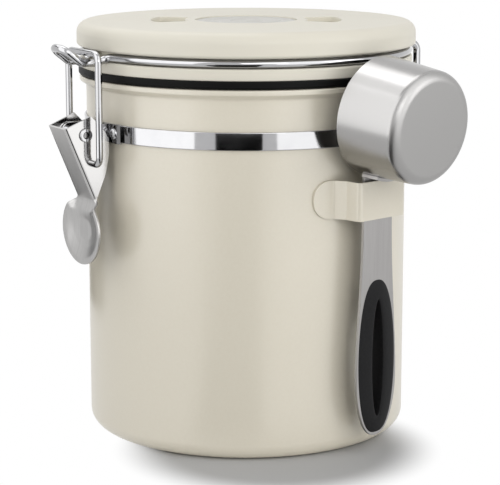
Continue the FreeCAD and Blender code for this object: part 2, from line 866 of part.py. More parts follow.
leg = [
    V(S.leg_end.value, hinge_out.value, band_middle.value),
    V(leg_x, hinge_out.value, band_middle.value),
    V(leg_x, hinge_out.value, level),
    V(leg_x, back_y, level),
    V(radius * math.sin(back_angle), radius * math.cos(back_angle), level),
]
strand = [
    V(radius * math.sin(front_angle), -radius * math.cos(front_angle), level),
    V(loop_x, front_y, level),
    V(loop_x, bar_y + flat, valley_z),
    V(loop_x, bar_y - flat, valley_z),
    V(loop_x, tip_y, tip_z),
]
side_point = V(radius, 0, level)
right_arc = Part.Arc(leg[-1], side_point, strand[0]).toShape()
left_arc = Part.Arc(mirrored(strand)[-1], V(-radius, 0, level), mirrored(leg)[0]).toShape()
route = rounded_run(leg, bend) + [right_arc]
route += rounded_run(strand + mirrored(strand), bend) + [left_arc] + rounded_run(mirrored(leg), bend)
new_shape("lid_wire", wire_solid(route, S.lid_wire_size.value))

# Strap on the body that holds the scoop by its handle.
body = new_body("scoop_holder")
tab_inner = band_inner
tab_outer = tab_inner + S.strap_sheet
strap_top = strap_base + S.strap_height
turn(body, [
    (tab_inner, strap_base),
    (tab_outer, strap_base),
    (tab_outer, strap_top),
    (tab_inner, strap_top),
], "tabs", plane="YZ_Plane", angle=360 * S.strap_tab_half / (math.pi * tab_outer))
tab_end = (S.strap_tab_half - S.strap_sheet).value
round_edges(body, S.strap_tab_round, lambda edge: abs(edge.CenterOfMass.x) > tab_end and edge.Length < 2, "tab_ends")
slot_front = S.body_radius + S.slot_depth
foot_line = S.body_radius - 3 * S.strap_sheet
shoulder = S.body_radius + S.strap_foot_rise
slot_side = S.slot_half + S.strap_sheet
spread = slot_side + S.strap_foot_spread
strap_outline = [
    (spread, foot_line),
    (slot_side, shoulder),
    (slot_side, slot_front + S.strap_sheet),
    (-slot_side, slot_front + S.strap_sheet),
    (-slot_side, shoulder),
    (-spread, foot_line),
    (S.strap_sheet - spread, foot_line),
    (-S.slot_half, shoulder),
    (-S.slot_half, slot_front),
    (S.slot_half, slot_front),
    (S.slot_half, shoulder),
    (spread - S.strap_sheet, foot_line),
]
sketch = outline_in(body, "XY_Plane", "strap_outline", strap_outline)
sketch.setExpression("AttachmentOffset.Base.z", strap_base.text)
strap = feature_in(body, "Pad", sketch, "strap", Length=S.strap_height)
doc.recompute()
opening = outline_in(body, "XY_Plane", "opening_outline", [
    (S.slot_half, 0),
    (S.slot_half, slot_front),
    (-S.slot_half, slot_front),
    (-S.slot_half, 0),
])
cut(body, opening, "opening", 4 * strap_top)
drum = circle_in(body, "XY_Plane", "drum_outline", 0, 0, tab_inner)
cut(body, drum, "drum", 4 * strap_top)
place(body, S.holder_turn - 180.0)


def stand_out(piece, reach, height, azimuth, tilt):
    """Stands a piece turned about Z out from the canister's side, tilted down from level by an angle."""
    around = FreeCAD.Rotation(V(0, 0, 1), azimuth.value)
    base = around.multVec(V(0, -reach.value, height.value))
    lean = FreeCAD.Rotation(V(1, 0, 0), 90 + tilt.value)
    piece.Placement = FreeCAD.Placement(base, around.multiply(lean))


# Scoop cup: the mouth faces the canister and the base hangs a little lower.
handle_back = S.body_radius + S.handle_reach
handle_face = handle_back + S.handle_thickness
cup_middle = strap_top + S.weld_tab_gap + S.handle_thickness + S.fit_gap + S.cup_rim_radius
body = new_body("scoop_cup")
turn(body, [
    (0, S.cup_depth),
    (S.cup_base_radius, S.cup_depth),
    (S.cup_rim_radius, 0),
    (S.cup_rim_radius - S.cup_wall, 0),
    (S.cup_base_radius - S.cup_wall, S.cup_depth - S.cup_wall),
    (0, S.cup_depth - S.cup_wall),
])
round_edges(body, S.cup_round, rim(S.cup_base_radius, S.cup_depth), "base_round")
round_edges(body, S.cup_round - S.cup_wall,
            rim(S.cup_base_radius - S.cup_wall, S.cup_depth - S.cup_wall), "inner_round")
cup_out = handle_back + S.cup_reach
stand_out(body, cup_out, cup_middle, S.holder_turn, S.cup_tilt)


def upright(x, z, y):
    """Point in the handle's own plane, built on the +Y side and turned into place afterwards."""
    return V(x, y, z)


def tongue(top, end_low, halves, levels, y):
    """Face of a rounded tongue: smooth sides through (half width, level) pairs down to a round end."""
    curves = []
    for side in (1, -1):
        points = [upright(side * half, level, y) for half, level in zip(halves, levels)]
        points.append(upright(0, end_low, y))
        curve = Part.BSplineCurve()
        heading = V(side, 0, 0) if halves[0] == 0 else V(0, 0, -1)
        curve.interpolate(Points=points, InitialTangent=heading, FinalTangent=V(-side, 0, 0))
        curves.append(curve.toShape())
    return Part.Face(Part.Wire(Part.sortEdges(curves + top)[0]))


def stadium(half, height, middle, y):
    """Face of an upright slot with round ends."""
    straight = height / 2 - half
    low, high = middle - straight, middle + straight
    edges = [
        Part.LineSegment(upright(half, low, y), upright(half, high, y)).toShape(),
        Part.Arc(upright(half, high, y), upright(0, high + half, y), upright(-half, high, y)).toShape(),
        Part.LineSegment(upright(-half, high, y), upright(-half, low, y)).toShape(),
        Part.Arc(upright(-half, low, y), upright(0, low - half, y), upright(half, low, y)).toShape(),
    ]
    return Part.Face(Part.Wire(edges))


# Scoop handle: a flat steel tongue with a tab welded under the cup and a window for the grip.
back = handle_back.value
thickness = S.handle_thickness.value
axis_z = cup_middle.value
top_half = S.handle_top_half.value
strap_low = strap_base.value
handle_low = strap_low - (S.handle_drop + strap_shift).value
wide_level = handle_low + S.handle_wide_rise.value
tab_bend = S.cup_rim_radius.value + S.fit_gap.value
tab_middle = tab_bend + thickness / 2
top_level = axis_z - math.sqrt(tab_middle ** 2 - top_half ** 2)
top_edges = [Part.Arc(upright(-top_half, top_level, back), upright(0, axis_z - tab_middle, back),
                      upright(top_half, top_level, back)).toShape()]
for side in (1, -1):
    top_edges.append(Part.LineSegment(upright(side * top_half, top_level, back),
                                      upright(side * top_half, strap_low, back)).toShape())
blade = tongue(top_edges, handle_low,
               [top_half, S.handle_half.value, S.handle_end_half.value],
               [strap_low, wide_level, handle_low + S.handle_end_rise.value], back)
blade = blade.extrude(V(0, thickness, 0))
slot_half = S.grip_slot_half.value
slot_height = S.grip_slot_height.value
core = S.grip_core.value
window_room = core + S.fit_gap.value
window = stadium(slot_half + window_room, slot_height + 2 * window_room, wide_level, back)
blade = blade.cut(window.extrude(V(0, thickness, 0)))
tab_length = S.weld_tab_length.value
tab_end_y = back + tab_length
taper = (S.cup_rim_radius.value - S.cup_base_radius.value) / S.cup_depth.value * (tab_end_y - cup_out.value)
tab_half_angle = math.degrees(math.asin(top_half / tab_bend))
tab_start = back - S.cup_rim_radius.value * math.sin(math.radians(S.cup_tilt.value))
tab_face = Part.Face(Part.makePolygon([
    V(0, tab_start, axis_z - tab_bend),
    V(0, cup_out.value, axis_z - tab_bend),
    V(0, tab_end_y, axis_z - tab_bend + taper),
    V(0, tab_end_y, axis_z - tab_bend + taper - thickness),
    V(0, cup_out.value, axis_z - tab_bend - thickness),
    V(0, tab_start, axis_z - tab_bend - thickness),
    V(0, tab_start, axis_z - tab_bend),
]))
tab_face.rotate(V(0, back, axis_z), V(0, 1, 0), -tab_half_angle)
weld_tab = tab_face.revolve(V(0, back, axis_z), V(0, 1, 0), 2 * tab_half_angle)
weld_tab.rotate(V(0, cup_out.value, axis_z), V(1, 0, 0), -S.cup_tilt.value)
behind = Part.makeBox(4 * top_half, back, 2 * axis_z, V(-2 * top_half, 0, 0))
weld_tab = weld_tab.cut(behind)
handle = new_shape("scoop_handle", blade.fuse(weld_tab).removeSplitter())
place(handle, S.holder_turn - 180.0)

# Grip moulded on the handle: a front pad, a core through the window and a lip behind.
grip_low = handle_low + S.grip_lift.value
grip_high = grip_low + S.grip_height.value
face = back + thickness
grip_half = S.handle_half.value - S.grip_edge.value
grip_end = S.handle_end_half.value - S.grip_edge.value
pad_outline = tongue([], grip_low,
                     [0, grip_half, grip_end],
                     [grip_high, wide_level, handle_low + S.handle_end_rise.value], face)
front = pad_outline.extrude(V(0, S.grip_proud.value, 0))
front_line = face + S.grip_proud.value
crown = [edge for edge in front.Edges if min(point.y for point in edge.discretize(5)) > front_line - 1e-4]
front = front.makeFillet(S.grip_round.value, crown)
middle = stadium(slot_half + core, slot_height + 2 * core, wide_level, back).extrude(V(0, thickness, 0))
lip_back = back - S.grip_back.value
lip = stadium(slot_half + 2 * core, slot_height + 4 * core, wide_level, lip_back)
lip = lip.extrude(V(0, S.grip_back.value, 0))
slot = stadium(slot_half, slot_height, wide_level, lip_back).extrude(V(0, front_line - lip_back, 0))
grip = new_shape("scoop_grip", front.fuse([middle, lip]).cut(slot).removeSplitter())
place(grip, S.holder_turn - 180.0)

# Every object is checked before anything is written.
doc.recompute()
for item in doc.Objects:
    if "Invalid" in item.State or "Error" in item.State:
        raise RuntimeError(f"{item.Label} is {item.State}")
os.makedirs("parts", exist_ok=True)
for piece in pieces:
    shape = piece.Shape
    if shape.isNull() or not shape.isValid() or not shape.Solids:
        raise RuntimeError(f"{piece.Label} has no valid solid")
for piece in pieces:
    piece.Shape.exportStep(f"parts/{piece.Label}.step")
print(f"{len(pieces)} pieces written")
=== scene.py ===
# %% [markdown]
# # Coffee canister with a clamp lid, a valve and a scoop
#
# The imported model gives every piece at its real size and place, in metres. This lesson dresses it: it
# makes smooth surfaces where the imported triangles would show, gives each piece its finish, and sets up
# the studio and the camera.

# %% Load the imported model
import math

import bmesh
import bpy
import numpy as np
from mathutils import Matrix, Vector


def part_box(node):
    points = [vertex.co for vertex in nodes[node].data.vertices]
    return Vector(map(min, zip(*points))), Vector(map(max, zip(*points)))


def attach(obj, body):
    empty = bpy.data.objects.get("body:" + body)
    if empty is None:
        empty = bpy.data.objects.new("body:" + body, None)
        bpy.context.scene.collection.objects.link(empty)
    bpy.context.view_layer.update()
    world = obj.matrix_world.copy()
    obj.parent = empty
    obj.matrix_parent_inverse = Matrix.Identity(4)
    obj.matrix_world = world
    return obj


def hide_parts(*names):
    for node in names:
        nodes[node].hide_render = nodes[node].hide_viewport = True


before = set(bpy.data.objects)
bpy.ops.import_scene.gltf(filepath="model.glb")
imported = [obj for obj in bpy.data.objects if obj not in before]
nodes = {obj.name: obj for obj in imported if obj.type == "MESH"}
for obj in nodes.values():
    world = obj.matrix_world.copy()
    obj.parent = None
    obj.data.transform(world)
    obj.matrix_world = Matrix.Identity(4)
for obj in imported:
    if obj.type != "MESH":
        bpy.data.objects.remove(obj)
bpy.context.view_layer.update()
MM = 0.001

# %% [markdown]
# ## Shader maths as Python
#
# A shader is a graph of sockets. Wrapping a socket in a small class lets a formula be written as a
# formula, and each operator adds its own Math node. Any other node comes from one method of the graph.

# %% Sockets that can be added and multiplied
class Signal:
    """A value that varies over a surface. Arithmetic on it adds Math nodes."""

    def __init__(self, graph, socket):
        self.graph = graph
        self.socket = socket

    def math(self, operation, *values):
        """Adds a Math node on these values."""
        return self.graph.node("ShaderNodeMath", {"operation": operation}, dict(enumerate(values)))

    def __add__(self, other):
        return self.math("ADD", self, other)

    def __sub__(self, other):
        return self.math("SUBTRACT", self, other)

    def __rsub__(self, other):
        return self.math("SUBTRACT", other, self)

    def __mul__(self, other):
        return self.math("MULTIPLY", self, other)

    __radd__ = __add__
    __rmul__ = __mul__


class Graph:
    """A node tree, the node that its results feed, and one method that adds any node."""

    def __init__(self, tree, surface):
        self.tree = tree
        self.surface = surface

    def node(self, kind, settings=None, inputs=None, output=0):
        """Adds a node of this type, sets its settings, then its inputs, and returns one output."""
        made = self.tree.nodes.new(kind)
        for key, value in (settings or {}).items():
            setattr(made, key, value)
        for key, value in (inputs or {}).items():
            if isinstance(value, Signal):
                self.tree.links.new(value.socket, made.inputs[key])
            else:
                made.inputs[key].default_value = value
        return Signal(self, made.outputs[output])

    def feed(self, socket, signal):
        """Links a signal to one socket of the surface."""
        self.tree.links.new(signal.socket, self.surface.inputs[socket])
        return self

    def place(self):
        """Object coordinates, which are the part's own frame in metres."""
        return self.node("ShaderNodeTexCoord", output="Object")

    def local(self, turn=(0, 0, 0), shift=(0, 0, 0)):
        """Object coordinates seen from a frame that stands at the shift and is turned by these angles."""
        return self.node("ShaderNodeMapping", {"vector_type": "TEXTURE"},
                         {"Vector": self.place(), "Location": shift, "Rotation": turn})

    def scaled(self, vector, scale):
        """A vector times a scale on each axis."""
        return self.node("ShaderNodeVectorMath", {"operation": "MULTIPLY"}, {0: vector, 1: scale})

    def along(self, vector, axis):
        """One coordinate of a vector."""
        return self.node("ShaderNodeSeparateXYZ", None, {0: vector}, output=axis)

    def length(self, vector):
        """Square root of x^2 + y^2 + z^2."""
        return self.node("ShaderNodeVectorMath", {"operation": "LENGTH"}, {0: vector}, output="Value")

    def grey(self, value):
        """A grey of this brightness."""
        return self.node("ShaderNodeCombineColor", None, {0: value, 1: value, 2: value})

    def noise(self, vector=None, scale=1.0, detail=3.0, roughness=0.55):
        """Cloudy noise around 0.5, a sum of finer and finer layers."""
        return self.node("ShaderNodeTexNoise", {"noise_dimensions": "3D"},
                         {"Vector": vector or self.place(), "Scale": scale, "Detail": detail,
                          "Roughness": roughness})

    def step(self, signal, low, high):
        """Goes smoothly from 0 to 1 while the signal goes from low to high."""
        return self.node("ShaderNodeMapRange", {"interpolation_type": "SMOOTHSTEP"},
                         {"Value": signal, "From Min": low, "From Max": high})

    def span(self, signal, low, high):
        """Maps a 0 to 1 signal to low to high."""
        return signal * (high - low) + low

    def paint(self, factor, first, second):
        """Mixes two colours by a factor and gives the surface the mix."""
        mixed = self.node("ShaderNodeMix", {"data_type": "RGBA", "blend_type": "MIX"},
                          {0: factor, 6: first, 7: second}, output=2)
        return self.feed("Base Color", mixed)

    def roughen(self, factor, low, high):
        """Sets the roughness by a factor, from low to high."""
        return self.feed("Roughness", self.span(factor, low, high))

    def bump(self, height, strength, distance):
        """Tilts the surface as a relief of this height signal would, with a depth in metres."""
        inputs = {"Height": height, "Strength": strength, "Distance": distance}
        return self.feed("Normal", self.node("ShaderNodeBump", None, inputs))

    def seen_directly(self):
        """1 for rays from the camera, from reflections and through glass, and 0 for diffuse light."""
        rays = [self.node("ShaderNodeLightPath", output=name)
                for name in ("Is Camera Ray", "Is Glossy Ray", "Is Transmission Ray")]
        return rays[0].math("MAXIMUM", rays[0].math("MAXIMUM", rays[0], rays[1]), rays[2])


class Finish(Graph):
    """One material: a Principled surface and the nodes that vary it."""

    def __init__(self, name, **constants):
        self.material = bpy.data.materials.new(name)
        self.material.use_nodes = True
        super().__init__(self.material.node_tree, self.material.node_tree.nodes["Principled BSDF"])
        for socket, value in constants.items():
            self.surface.inputs[socket.replace("_", " ")].default_value = value


def srgb(red, green, blue):
    """Linear colour of an 8-bit display colour."""
    values = np.array([red, green, blue]) / 255
    linear = np.where(values <= 0.04045, values / 12.92, ((values + 0.055) / 1.055) ** 2.4)
    return (*linear.tolist(), 1.0)


# %% [markdown]
# ## Finishes
#
# The drum and the strap are powder coated: a cream paint with a very fine orange peel. The lid is
# moulded in the same cream. The wires and the band are polished, and the scoop and the lever are
# brushed.

# %% Cream powder coat and cream plastic
def coat_finish():
    """Cream paint: colour and relief follow a fine grain, gloss a slow cloud."""
    finish = Finish("cream_coat", Specular_IOR_Level=1.0)
    grain = finish.noise(scale=900, detail=2)
    cloud = finish.noise(scale=14, detail=2)
    finish.paint(grain, srgb(217, 210, 193), srgb(221, 215, 199))
    finish.roughen(cloud, 0.277, 0.297)
    return finish.bump(grain, 0.004, 0.0002).material


def plastic_finish(name, dark, light):
    """Moulded plastic: colour follows a slow cloud, gloss and relief a fine grain."""
    finish = Finish(name)
    grain = finish.noise(scale=1400, detail=2)
    cloud = finish.noise(scale=20, detail=2)
    finish.paint(cloud, dark, light)
    finish.roughen(grain, 0.36, 0.48)
    return finish.bump(grain, 0.02, 0.0002).material


# %% Polished and brushed steel
def polished_finish():
    """Mirror steel with a faint haze."""
    finish = Finish("polished_steel", Metallic=1.0)
    haze = finish.noise(scale=120, detail=3)
    finish.paint(haze, srgb(168, 168, 170), srgb(181, 181, 182))
    return finish.roughen(haze, 0.04, 0.11).material


def brushed_finish(name, scale, dark, light):
    """Steel with fine lines: noise that is short across the lines and long along them."""
    finish = Finish(name, Metallic=1.0)
    lines = finish.noise(finish.scaled(finish.place(), scale), detail=4, roughness=0.7)
    finish.paint(lines, dark, light)
    finish.roughen(lines, 0.24, 0.42)
    return finish.bump(lines, 0.12, 0.0001).material


# %% Rubber
def rubber_finish(name, dark, light, scale, strength):
    """Black rubber: colour, gloss and relief follow one grain."""
    finish = Finish(name, Specular_IOR_Level=0.1)
    grain = finish.noise(scale=scale, detail=3)
    finish.paint(grain, dark, light)
    finish.roughen(grain, 0.4, 0.62)
    return finish.bump(grain, strength, 0.0002).material


coat = coat_finish()
plastic = plastic_finish("cream_plastic", srgb(218, 213, 198), srgb(224, 220, 207))
disc_plastic = plastic_finish("centre_disc", srgb(196, 194, 188), srgb(206, 204, 199))
dial_plastic = plastic_finish("dial_white", srgb(240, 236, 222), srgb(244, 241, 229))
polished = polished_finish()
handle_steel = brushed_finish("handle_steel", (900, 900, 40), srgb(152, 150, 149), srgb(172, 170, 169))
seal_rubber = rubber_finish("black_seal", srgb(6, 6, 6), srgb(11, 11, 10), 500, 0.05)
grip_rubber = rubber_finish("black_grip", srgb(20, 20, 21), srgb(36, 36, 37), 1100, 0.25)
print("finishes", coat.name, plastic.name, polished.name)

# %% [markdown]
# ## Smooth surfaces from formulas
#
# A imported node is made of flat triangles, which show on polished steel. Most pieces are turned, or bent
# from wire or sheet, so each is worked out again as a grid of points: a formula of two parameters, or a
# profile carried along a path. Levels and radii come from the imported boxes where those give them.

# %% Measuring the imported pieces
def box_of(node):
    """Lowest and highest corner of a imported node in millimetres."""
    low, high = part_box(node)
    return np.array(low) / MM, np.array(high) / MM


def unit(vectors):
    """Vectors divided by their lengths."""
    return vectors / np.maximum(np.linalg.norm(vectors, axis=-1, keepdims=True), 1e-12)


drum_high = box_of("canister_body")[1]
band_low, band_high = box_of("clamp_band")
gasket_low, gasket_high = box_of("lid_gasket")
cover_low, cover_high = box_of("lid_cover")
print("drum", drum_high.round(1), "cover", cover_low.round(1), cover_high.round(1))


# %% Rounded routes
def rounded_route(corners, radii, steps=8, closed=False):
    """Straight runs between corners, each corner replaced by an arc tangent to its two runs.

    The arc's centre lies on the corner's bisector at radius / sin(half angle), and its points turn
    evenly from the end of one run to the start of the next.
    """
    corners = np.asarray(corners, float)
    radii = np.array(np.broadcast_to(radii, len(corners)), float)
    if not closed:
        radii[[0, -1]] = 0
    back = unit(np.roll(corners, 1, axis=0) - corners)
    ahead = unit(np.roll(corners, -1, axis=0) - corners)
    half = np.maximum(np.arccos(np.clip((back * ahead).sum(-1), -1, 1)) / 2, 1e-6)
    centre = corners + unit(back + ahead) * (radii / np.sin(half))[:, None]
    setback = (radii / np.tan(half))[:, None]
    first = (corners + back * setback - centre)[:, None]
    last = (corners + ahead * setback - centre)[:, None]
    share = np.linspace(0, 1, steps)[None, :, None]
    sweep = np.maximum(np.pi - 2 * half, 1e-6)[:, None, None]
    swing = np.sin((1 - share) * sweep) * first + np.sin(share * sweep) * last
    points = (centre[:, None] + swing / np.maximum(np.sin(sweep), 1e-9)).reshape(-1, corners.shape[1])
    gaps = np.linalg.norm(np.diff(points, axis=0), axis=1)
    return points[np.append(True, gaps > 1e-5)]


# %% Grids into pieces
def quads_of(rows, columns, wrap_rows, wrap_columns):
    """Corner numbers of the squares of a grid, closed round in either direction."""
    index = np.arange(rows * columns).reshape(rows, columns)
    if wrap_rows:
        index = np.vstack([index, index[:1]])
    if wrap_columns:
        index = np.hstack([index, index[:, :1]])
    corners = (index[:-1, :-1], index[:-1, 1:], index[1:, 1:], index[1:, :-1])
    return np.stack(corners, axis=-1).reshape(-1, 4)


merge_reach, sliver_reach = 2e-6, 1e-7


def settle(mesh, sharp):
    """Merges points that meet, points the faces outwards and marks the edges sharper than an angle."""
    shell = bmesh.new()
    shell.from_mesh(mesh)
    bmesh.ops.remove_doubles(shell, verts=shell.verts, dist=merge_reach)
    bmesh.ops.dissolve_degenerate(shell, edges=shell.edges, dist=sliver_reach)
    bmesh.ops.recalc_face_normals(shell, faces=shell.faces)
    shell.to_mesh(mesh)
    shell.free()
    mesh.shade_smooth()
    mesh.set_sharp_from_angle(angle=math.radians(sharp))


def add_piece(name, mesh, material, body, slot, *stands_for):
    """Puts a mesh in the scene, gives it its finish and lets it move with its body."""
    piece = bpy.data.objects.new(name, mesh)
    bpy.context.scene.collection.objects.link(piece)
    mesh.materials.append(material)
    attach(piece, body)
    if stands_for:
        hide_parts(*stands_for)
    return piece


def add_grids(name, grids, *facts, sharp=32, wrap_rows=False, wrap_columns=True):
    """One piece from grids of points in millimetres; the facts are those that add_piece needs."""
    places, faces, start = [], [], 0
    for points in grids:
        rows, columns = points.shape[:2]
        places.append(points.reshape(-1, 3) * MM)
        faces.append(quads_of(rows, columns, wrap_rows, wrap_columns) + start)
        start += rows * columns
    mesh = bpy.data.meshes.new(name)
    mesh.from_pydata(np.vstack(places).tolist(), [], np.vstack(faces).tolist())
    settle(mesh, sharp)
    print(name, len(mesh.vertices), "points")
    return add_piece(name, mesh, *facts)


def polar(radius, angle, height):
    """x = r cos a, y = r sin a, z = height, for a whole grid at once."""
    return np.stack(np.broadcast_arrays(radius * np.cos(angle), radius * np.sin(angle), height), axis=-1)


def turned_points(profile, segments=224, start=0.0):
    """A profile of (radius, height) carried round Z."""
    angles = np.radians(start) + np.arange(segments) * 2 * np.pi / segments
    return polar(profile[:, :1], angles, profile[:, 1:])


def even_normals(piece):
    """Lets the large faces set the shading, so that flats stay flat beside a small round."""
    modifier = piece.modifiers.new("even_normals", "WEIGHTED_NORMAL")
    modifier.keep_sharp = True


def soften(piece, width, sharp):
    """Bevels the edges of a piece that are sharper than an angle, then evens its normals."""
    edge = piece.modifiers.new("edge", "BEVEL")
    edge.width, edge.segments = width * MM, 2
    edge.limit_method, edge.angle_limit = "ANGLE", math.radians(sharp)
    even_normals(piece)


def add_turned(name, profile, closed, *facts):
    """A piece that is one profile turned round Z; a closed profile makes a ring."""
    even_normals(add_grids(name, [turned_points(profile)], *facts, wrap_rows=closed))


# %% [markdown]
# ## Drum, band and seal
#
# The drum is drawn from one sheet: a straight wall, a round foot and a lip that flares out under the
# seal. All three pieces are profiles turned round Z. The corners of a profile get real rounds, because
# a dead sharp edge catches no light.

# %% Drum
lip_radius, drum_height = drum_high[0], drum_high[2]
band_gap, band_sheet = 0.1, 0.8
drum_radius = -band_low[0] - (band_gap + band_sheet)
drum_wall, lip_wall = 0.8, 2
base_lift, base_step_in, base_step_out = 1.5, 20, 18
base_top = base_lift + drum_wall
flare_low, flare_high = drum_height - 3.6, drum_height - 2.0
drum_profile = rounded_route([
    (0, base_lift), (drum_radius - base_step_in, base_lift), (drum_radius - base_step_out, 0),
    (drum_radius, 0), (drum_radius, flare_low), (lip_radius, flare_high), (lip_radius, drum_height),
    (lip_radius - lip_wall, drum_height), (drum_radius - drum_wall, flare_low),
    (drum_radius - drum_wall, base_top), (0, base_top),
], [0, 1.5, 1.0, 6.0, 1.2, 0.6, 0.7, 0.4, 1.2, 5.0, 0], steps=10)
add_turned("drum", drum_profile, False, coat, "canister", "cream_coat", "canister_body")

# %% Band and seal
def ring_profile(inner, low, high, radii, steps):
    """A rectangle with rounded corners, from an inner radius to the side of a box."""
    corners = [(inner, low[2]), (high[0], low[2]), (high[0], high[2]), (inner, high[2])]
    return rounded_route(corners, radii, steps, closed=True)


band_profile = ring_profile(drum_radius + band_gap, band_low, band_high, [0.1, 0.3, 0.3, 0.1], 5)
add_turned("band", band_profile, True, polished, "canister", "polished_steel", "clamp_band")
seal_width = 6.8
seal_inner = gasket_high[0] - seal_width
seal_profile = ring_profile(seal_inner, gasket_low, gasket_high, [0.3, 0.8, 0.5, 0.3], 6)
add_turned("seal", seal_profile, True, seal_rubber, "lid", "black_seal", "lid_gasket")

# %% [markdown]
# ## Lid
#
# The lid has a moulded base, which plugs the mouth and carries the wire in its groove, and a cover with
# a soft round, a shallow recess and two curved windows over the date rings. A window can't be turned, so
# each half of the ring that holds the windows is a frame: rows carried round the window's outline, which
# is a superellipse in angle and radius.

# %% Lid base
seat, plug_base = gasket_high[2], box_of("lid_base")[0][2]
lid_wall, bead_out, bead_high = 2, 0.7, 1
plug_radius = seal_inner - 0.1
ring_radius, ring_top = gasket_high[0] - 0.7, seat + 4.3
neck_radius, groove_top = ring_radius - 3.1, seat + 7.9
floor_under, floor_top = plug_base + 7.6, plug_base + 9.6
recess_radius = plug_radius - 10.5
floor_radius = recess_radius + lid_wall
spigot_radius, spigot_top = cover_high[0] - 2.3, groove_top + 3.2
base_profile = rounded_route([
    (recess_radius, floor_under), (recess_radius, plug_base), (plug_radius + bead_out, plug_base),
    (plug_radius + bead_out, plug_base + bead_high), (plug_radius, plug_base + bead_high),
    (plug_radius, seat), (ring_radius, seat), (ring_radius, ring_top), (neck_radius, ring_top),
    (neck_radius, groove_top), (spigot_radius, groove_top), (spigot_radius, spigot_top),
    (neck_radius - lid_wall, spigot_top), (neck_radius - lid_wall, seat + lid_wall),
    (plug_radius - lid_wall, seat + lid_wall), (plug_radius - lid_wall, plug_base + lid_wall),
    (floor_radius, plug_base + lid_wall), (floor_radius, floor_under),
], [0.05, 0.8, 0.3, 0.3, 0.3, 0.2, 0.3, 0.7, 0.5, 0.4] + [0.2] * 8, steps=5, closed=True)
add_turned("lid_base_moulding", base_profile, True, plastic, "lid", "cream_plastic", "lid_base")

# %% Lid floor
valve_hole = 12.1
date_low, date_top = [corner[2] for corner in box_of("month_ring")]
rail_top = date_low - 0.1
outer_rail, inner_rail, guide = (35, 33.4, rail_top), (27.3, 25.7, rail_top), (22.4, 22.4 - 1.6, date_top)
plate_corners = [(valve_hole, floor_under), (floor_radius, floor_under), (floor_radius, floor_top)]
for rib_out, rib_in, rib_top in (outer_rail, inner_rail, guide):
    plate_corners += [(rib_out, floor_top), (rib_out, rib_top), (rib_in, rib_top), (rib_in, floor_top)]
plate_corners.append((valve_hole, floor_top))
floor_profile = rounded_route(plate_corners, 0.2, steps=5, closed=True)
add_turned("lid_floor_plate", floor_profile, True, plastic, "lid", "cream_plastic", "lid_floor")

# %% Lid cover
dial_turn = 58.0
cover_radius, cover_base, cover_top = cover_high[0], cover_low[2], cover_high[2]
cover_wall, rim_run = 2.2, 8
under = cover_top - cover_wall
hollow_radius, hollow_top = 19.8, cover_top - 0.9
join_in, join_out = 21.6, 40.0
window_middle, window_half, window_power = 30.5, 6.5, 9
window_spread = math.radians(23)
window_round = ((0.5, 0), (0.25, 0.05), (0.08, 0.18), (0, 0.4))
under_round = 0.2
half_columns, side_steps, frame_steps = 112, 16, 14


def window_frame(turn_angle):
    """Ring half with one window: rows run from the outer edge on top, over the window's round, and back.

    Each edge point of the half ring is pulled to the window's outline, where |x|^n + |y|^n = 1 in the
    window's own angle and radius. The flats have many rows, because a long straight side would cut
    across the ring's curve.
    """
    across = np.linspace(-1, 1, half_columns + 1)[:-1]
    beside = np.linspace(-1, 1, side_steps + 1)[:-1]
    x = np.concatenate([across, np.ones(side_steps), -across, -np.ones(side_steps)])
    y = np.concatenate([-np.ones(half_columns), beside, np.ones(half_columns), -beside])
    outer = np.stack([x * np.pi / 2, (join_in + join_out) / 2 + y * (join_out - join_in) / 2], axis=1)
    pull = (np.abs(x) ** window_power + np.abs(y) ** window_power) ** (-1 / window_power)

    def window(grow):
        """The window's outline as (angle, radius), larger all round by grow."""
        return np.stack([x * pull * (window_spread + grow / window_middle),
                         window_middle + y * pull * (window_half + grow)], axis=1)

    shares = np.arange(frame_steps) / frame_steps
    top_edge, under_edge = window(window_round[0][0]), window(under_round)
    rows = [(outer + (top_edge - outer) * share, cover_top) for share in shares]
    rows += [(window(grow), cover_top - drop) for grow, drop in window_round]
    rows += [(window(0), under + under_round), (under_edge, under)]
    rows += [(outer + (under_edge - outer) * share, under) for share in shares[::-1]]
    angle = np.radians(turn_angle) + np.array([row[:, 0] for row, level in rows])
    radius = np.array([row[:, 1] for row, level in rows])
    return polar(radius, angle, np.array([level for row, level in rows])[:, None])


rim_profile = rounded_route([
    (join_out, cover_top), (cover_radius - rim_run, cover_top), (cover_radius, cover_top),
    (cover_radius, cover_base), (cover_radius - cover_wall, cover_base),
    (cover_radius - cover_wall, under), (join_out, under),
], [0, 0, 4.5, 0.9, 0.4, 1.5, 0], steps=12)
middle_profile = np.array([(0, under), (join_in, under)])
hollow_profile = rounded_route([
    (join_in, cover_top), (hollow_radius, cover_top), (hollow_radius, hollow_top), (0, hollow_top),
], [0, 0.3, 0.15, 0], steps=5)
cover_grids = [turned_points(profile, 2 * half_columns, dial_turn)
               for profile in (rim_profile, middle_profile, hollow_profile)]
cover_grids += [window_frame(dial_turn + turned) for turned in (0, 180)]
even_normals(add_grids("lid_shell", cover_grids, plastic, "lid", "cream_plastic", "lid_cover"))

# %% [markdown]
# The middle disc carries only a plain turned pattern: a raised edge, two fine rings and a band of short
# rays.

# %% Middle disc
disc_low, disc_high = box_of("lid_centre_disc")
disc_flat, bump_height, ray_height, ray_count = 0.3, 0.28, 0.1, 36
disc_bumps = ((18.3, 0.6), (13.0, 0.3), (6.0, 0.3))
ray_radius, ray_reach = 15.6, 1.3


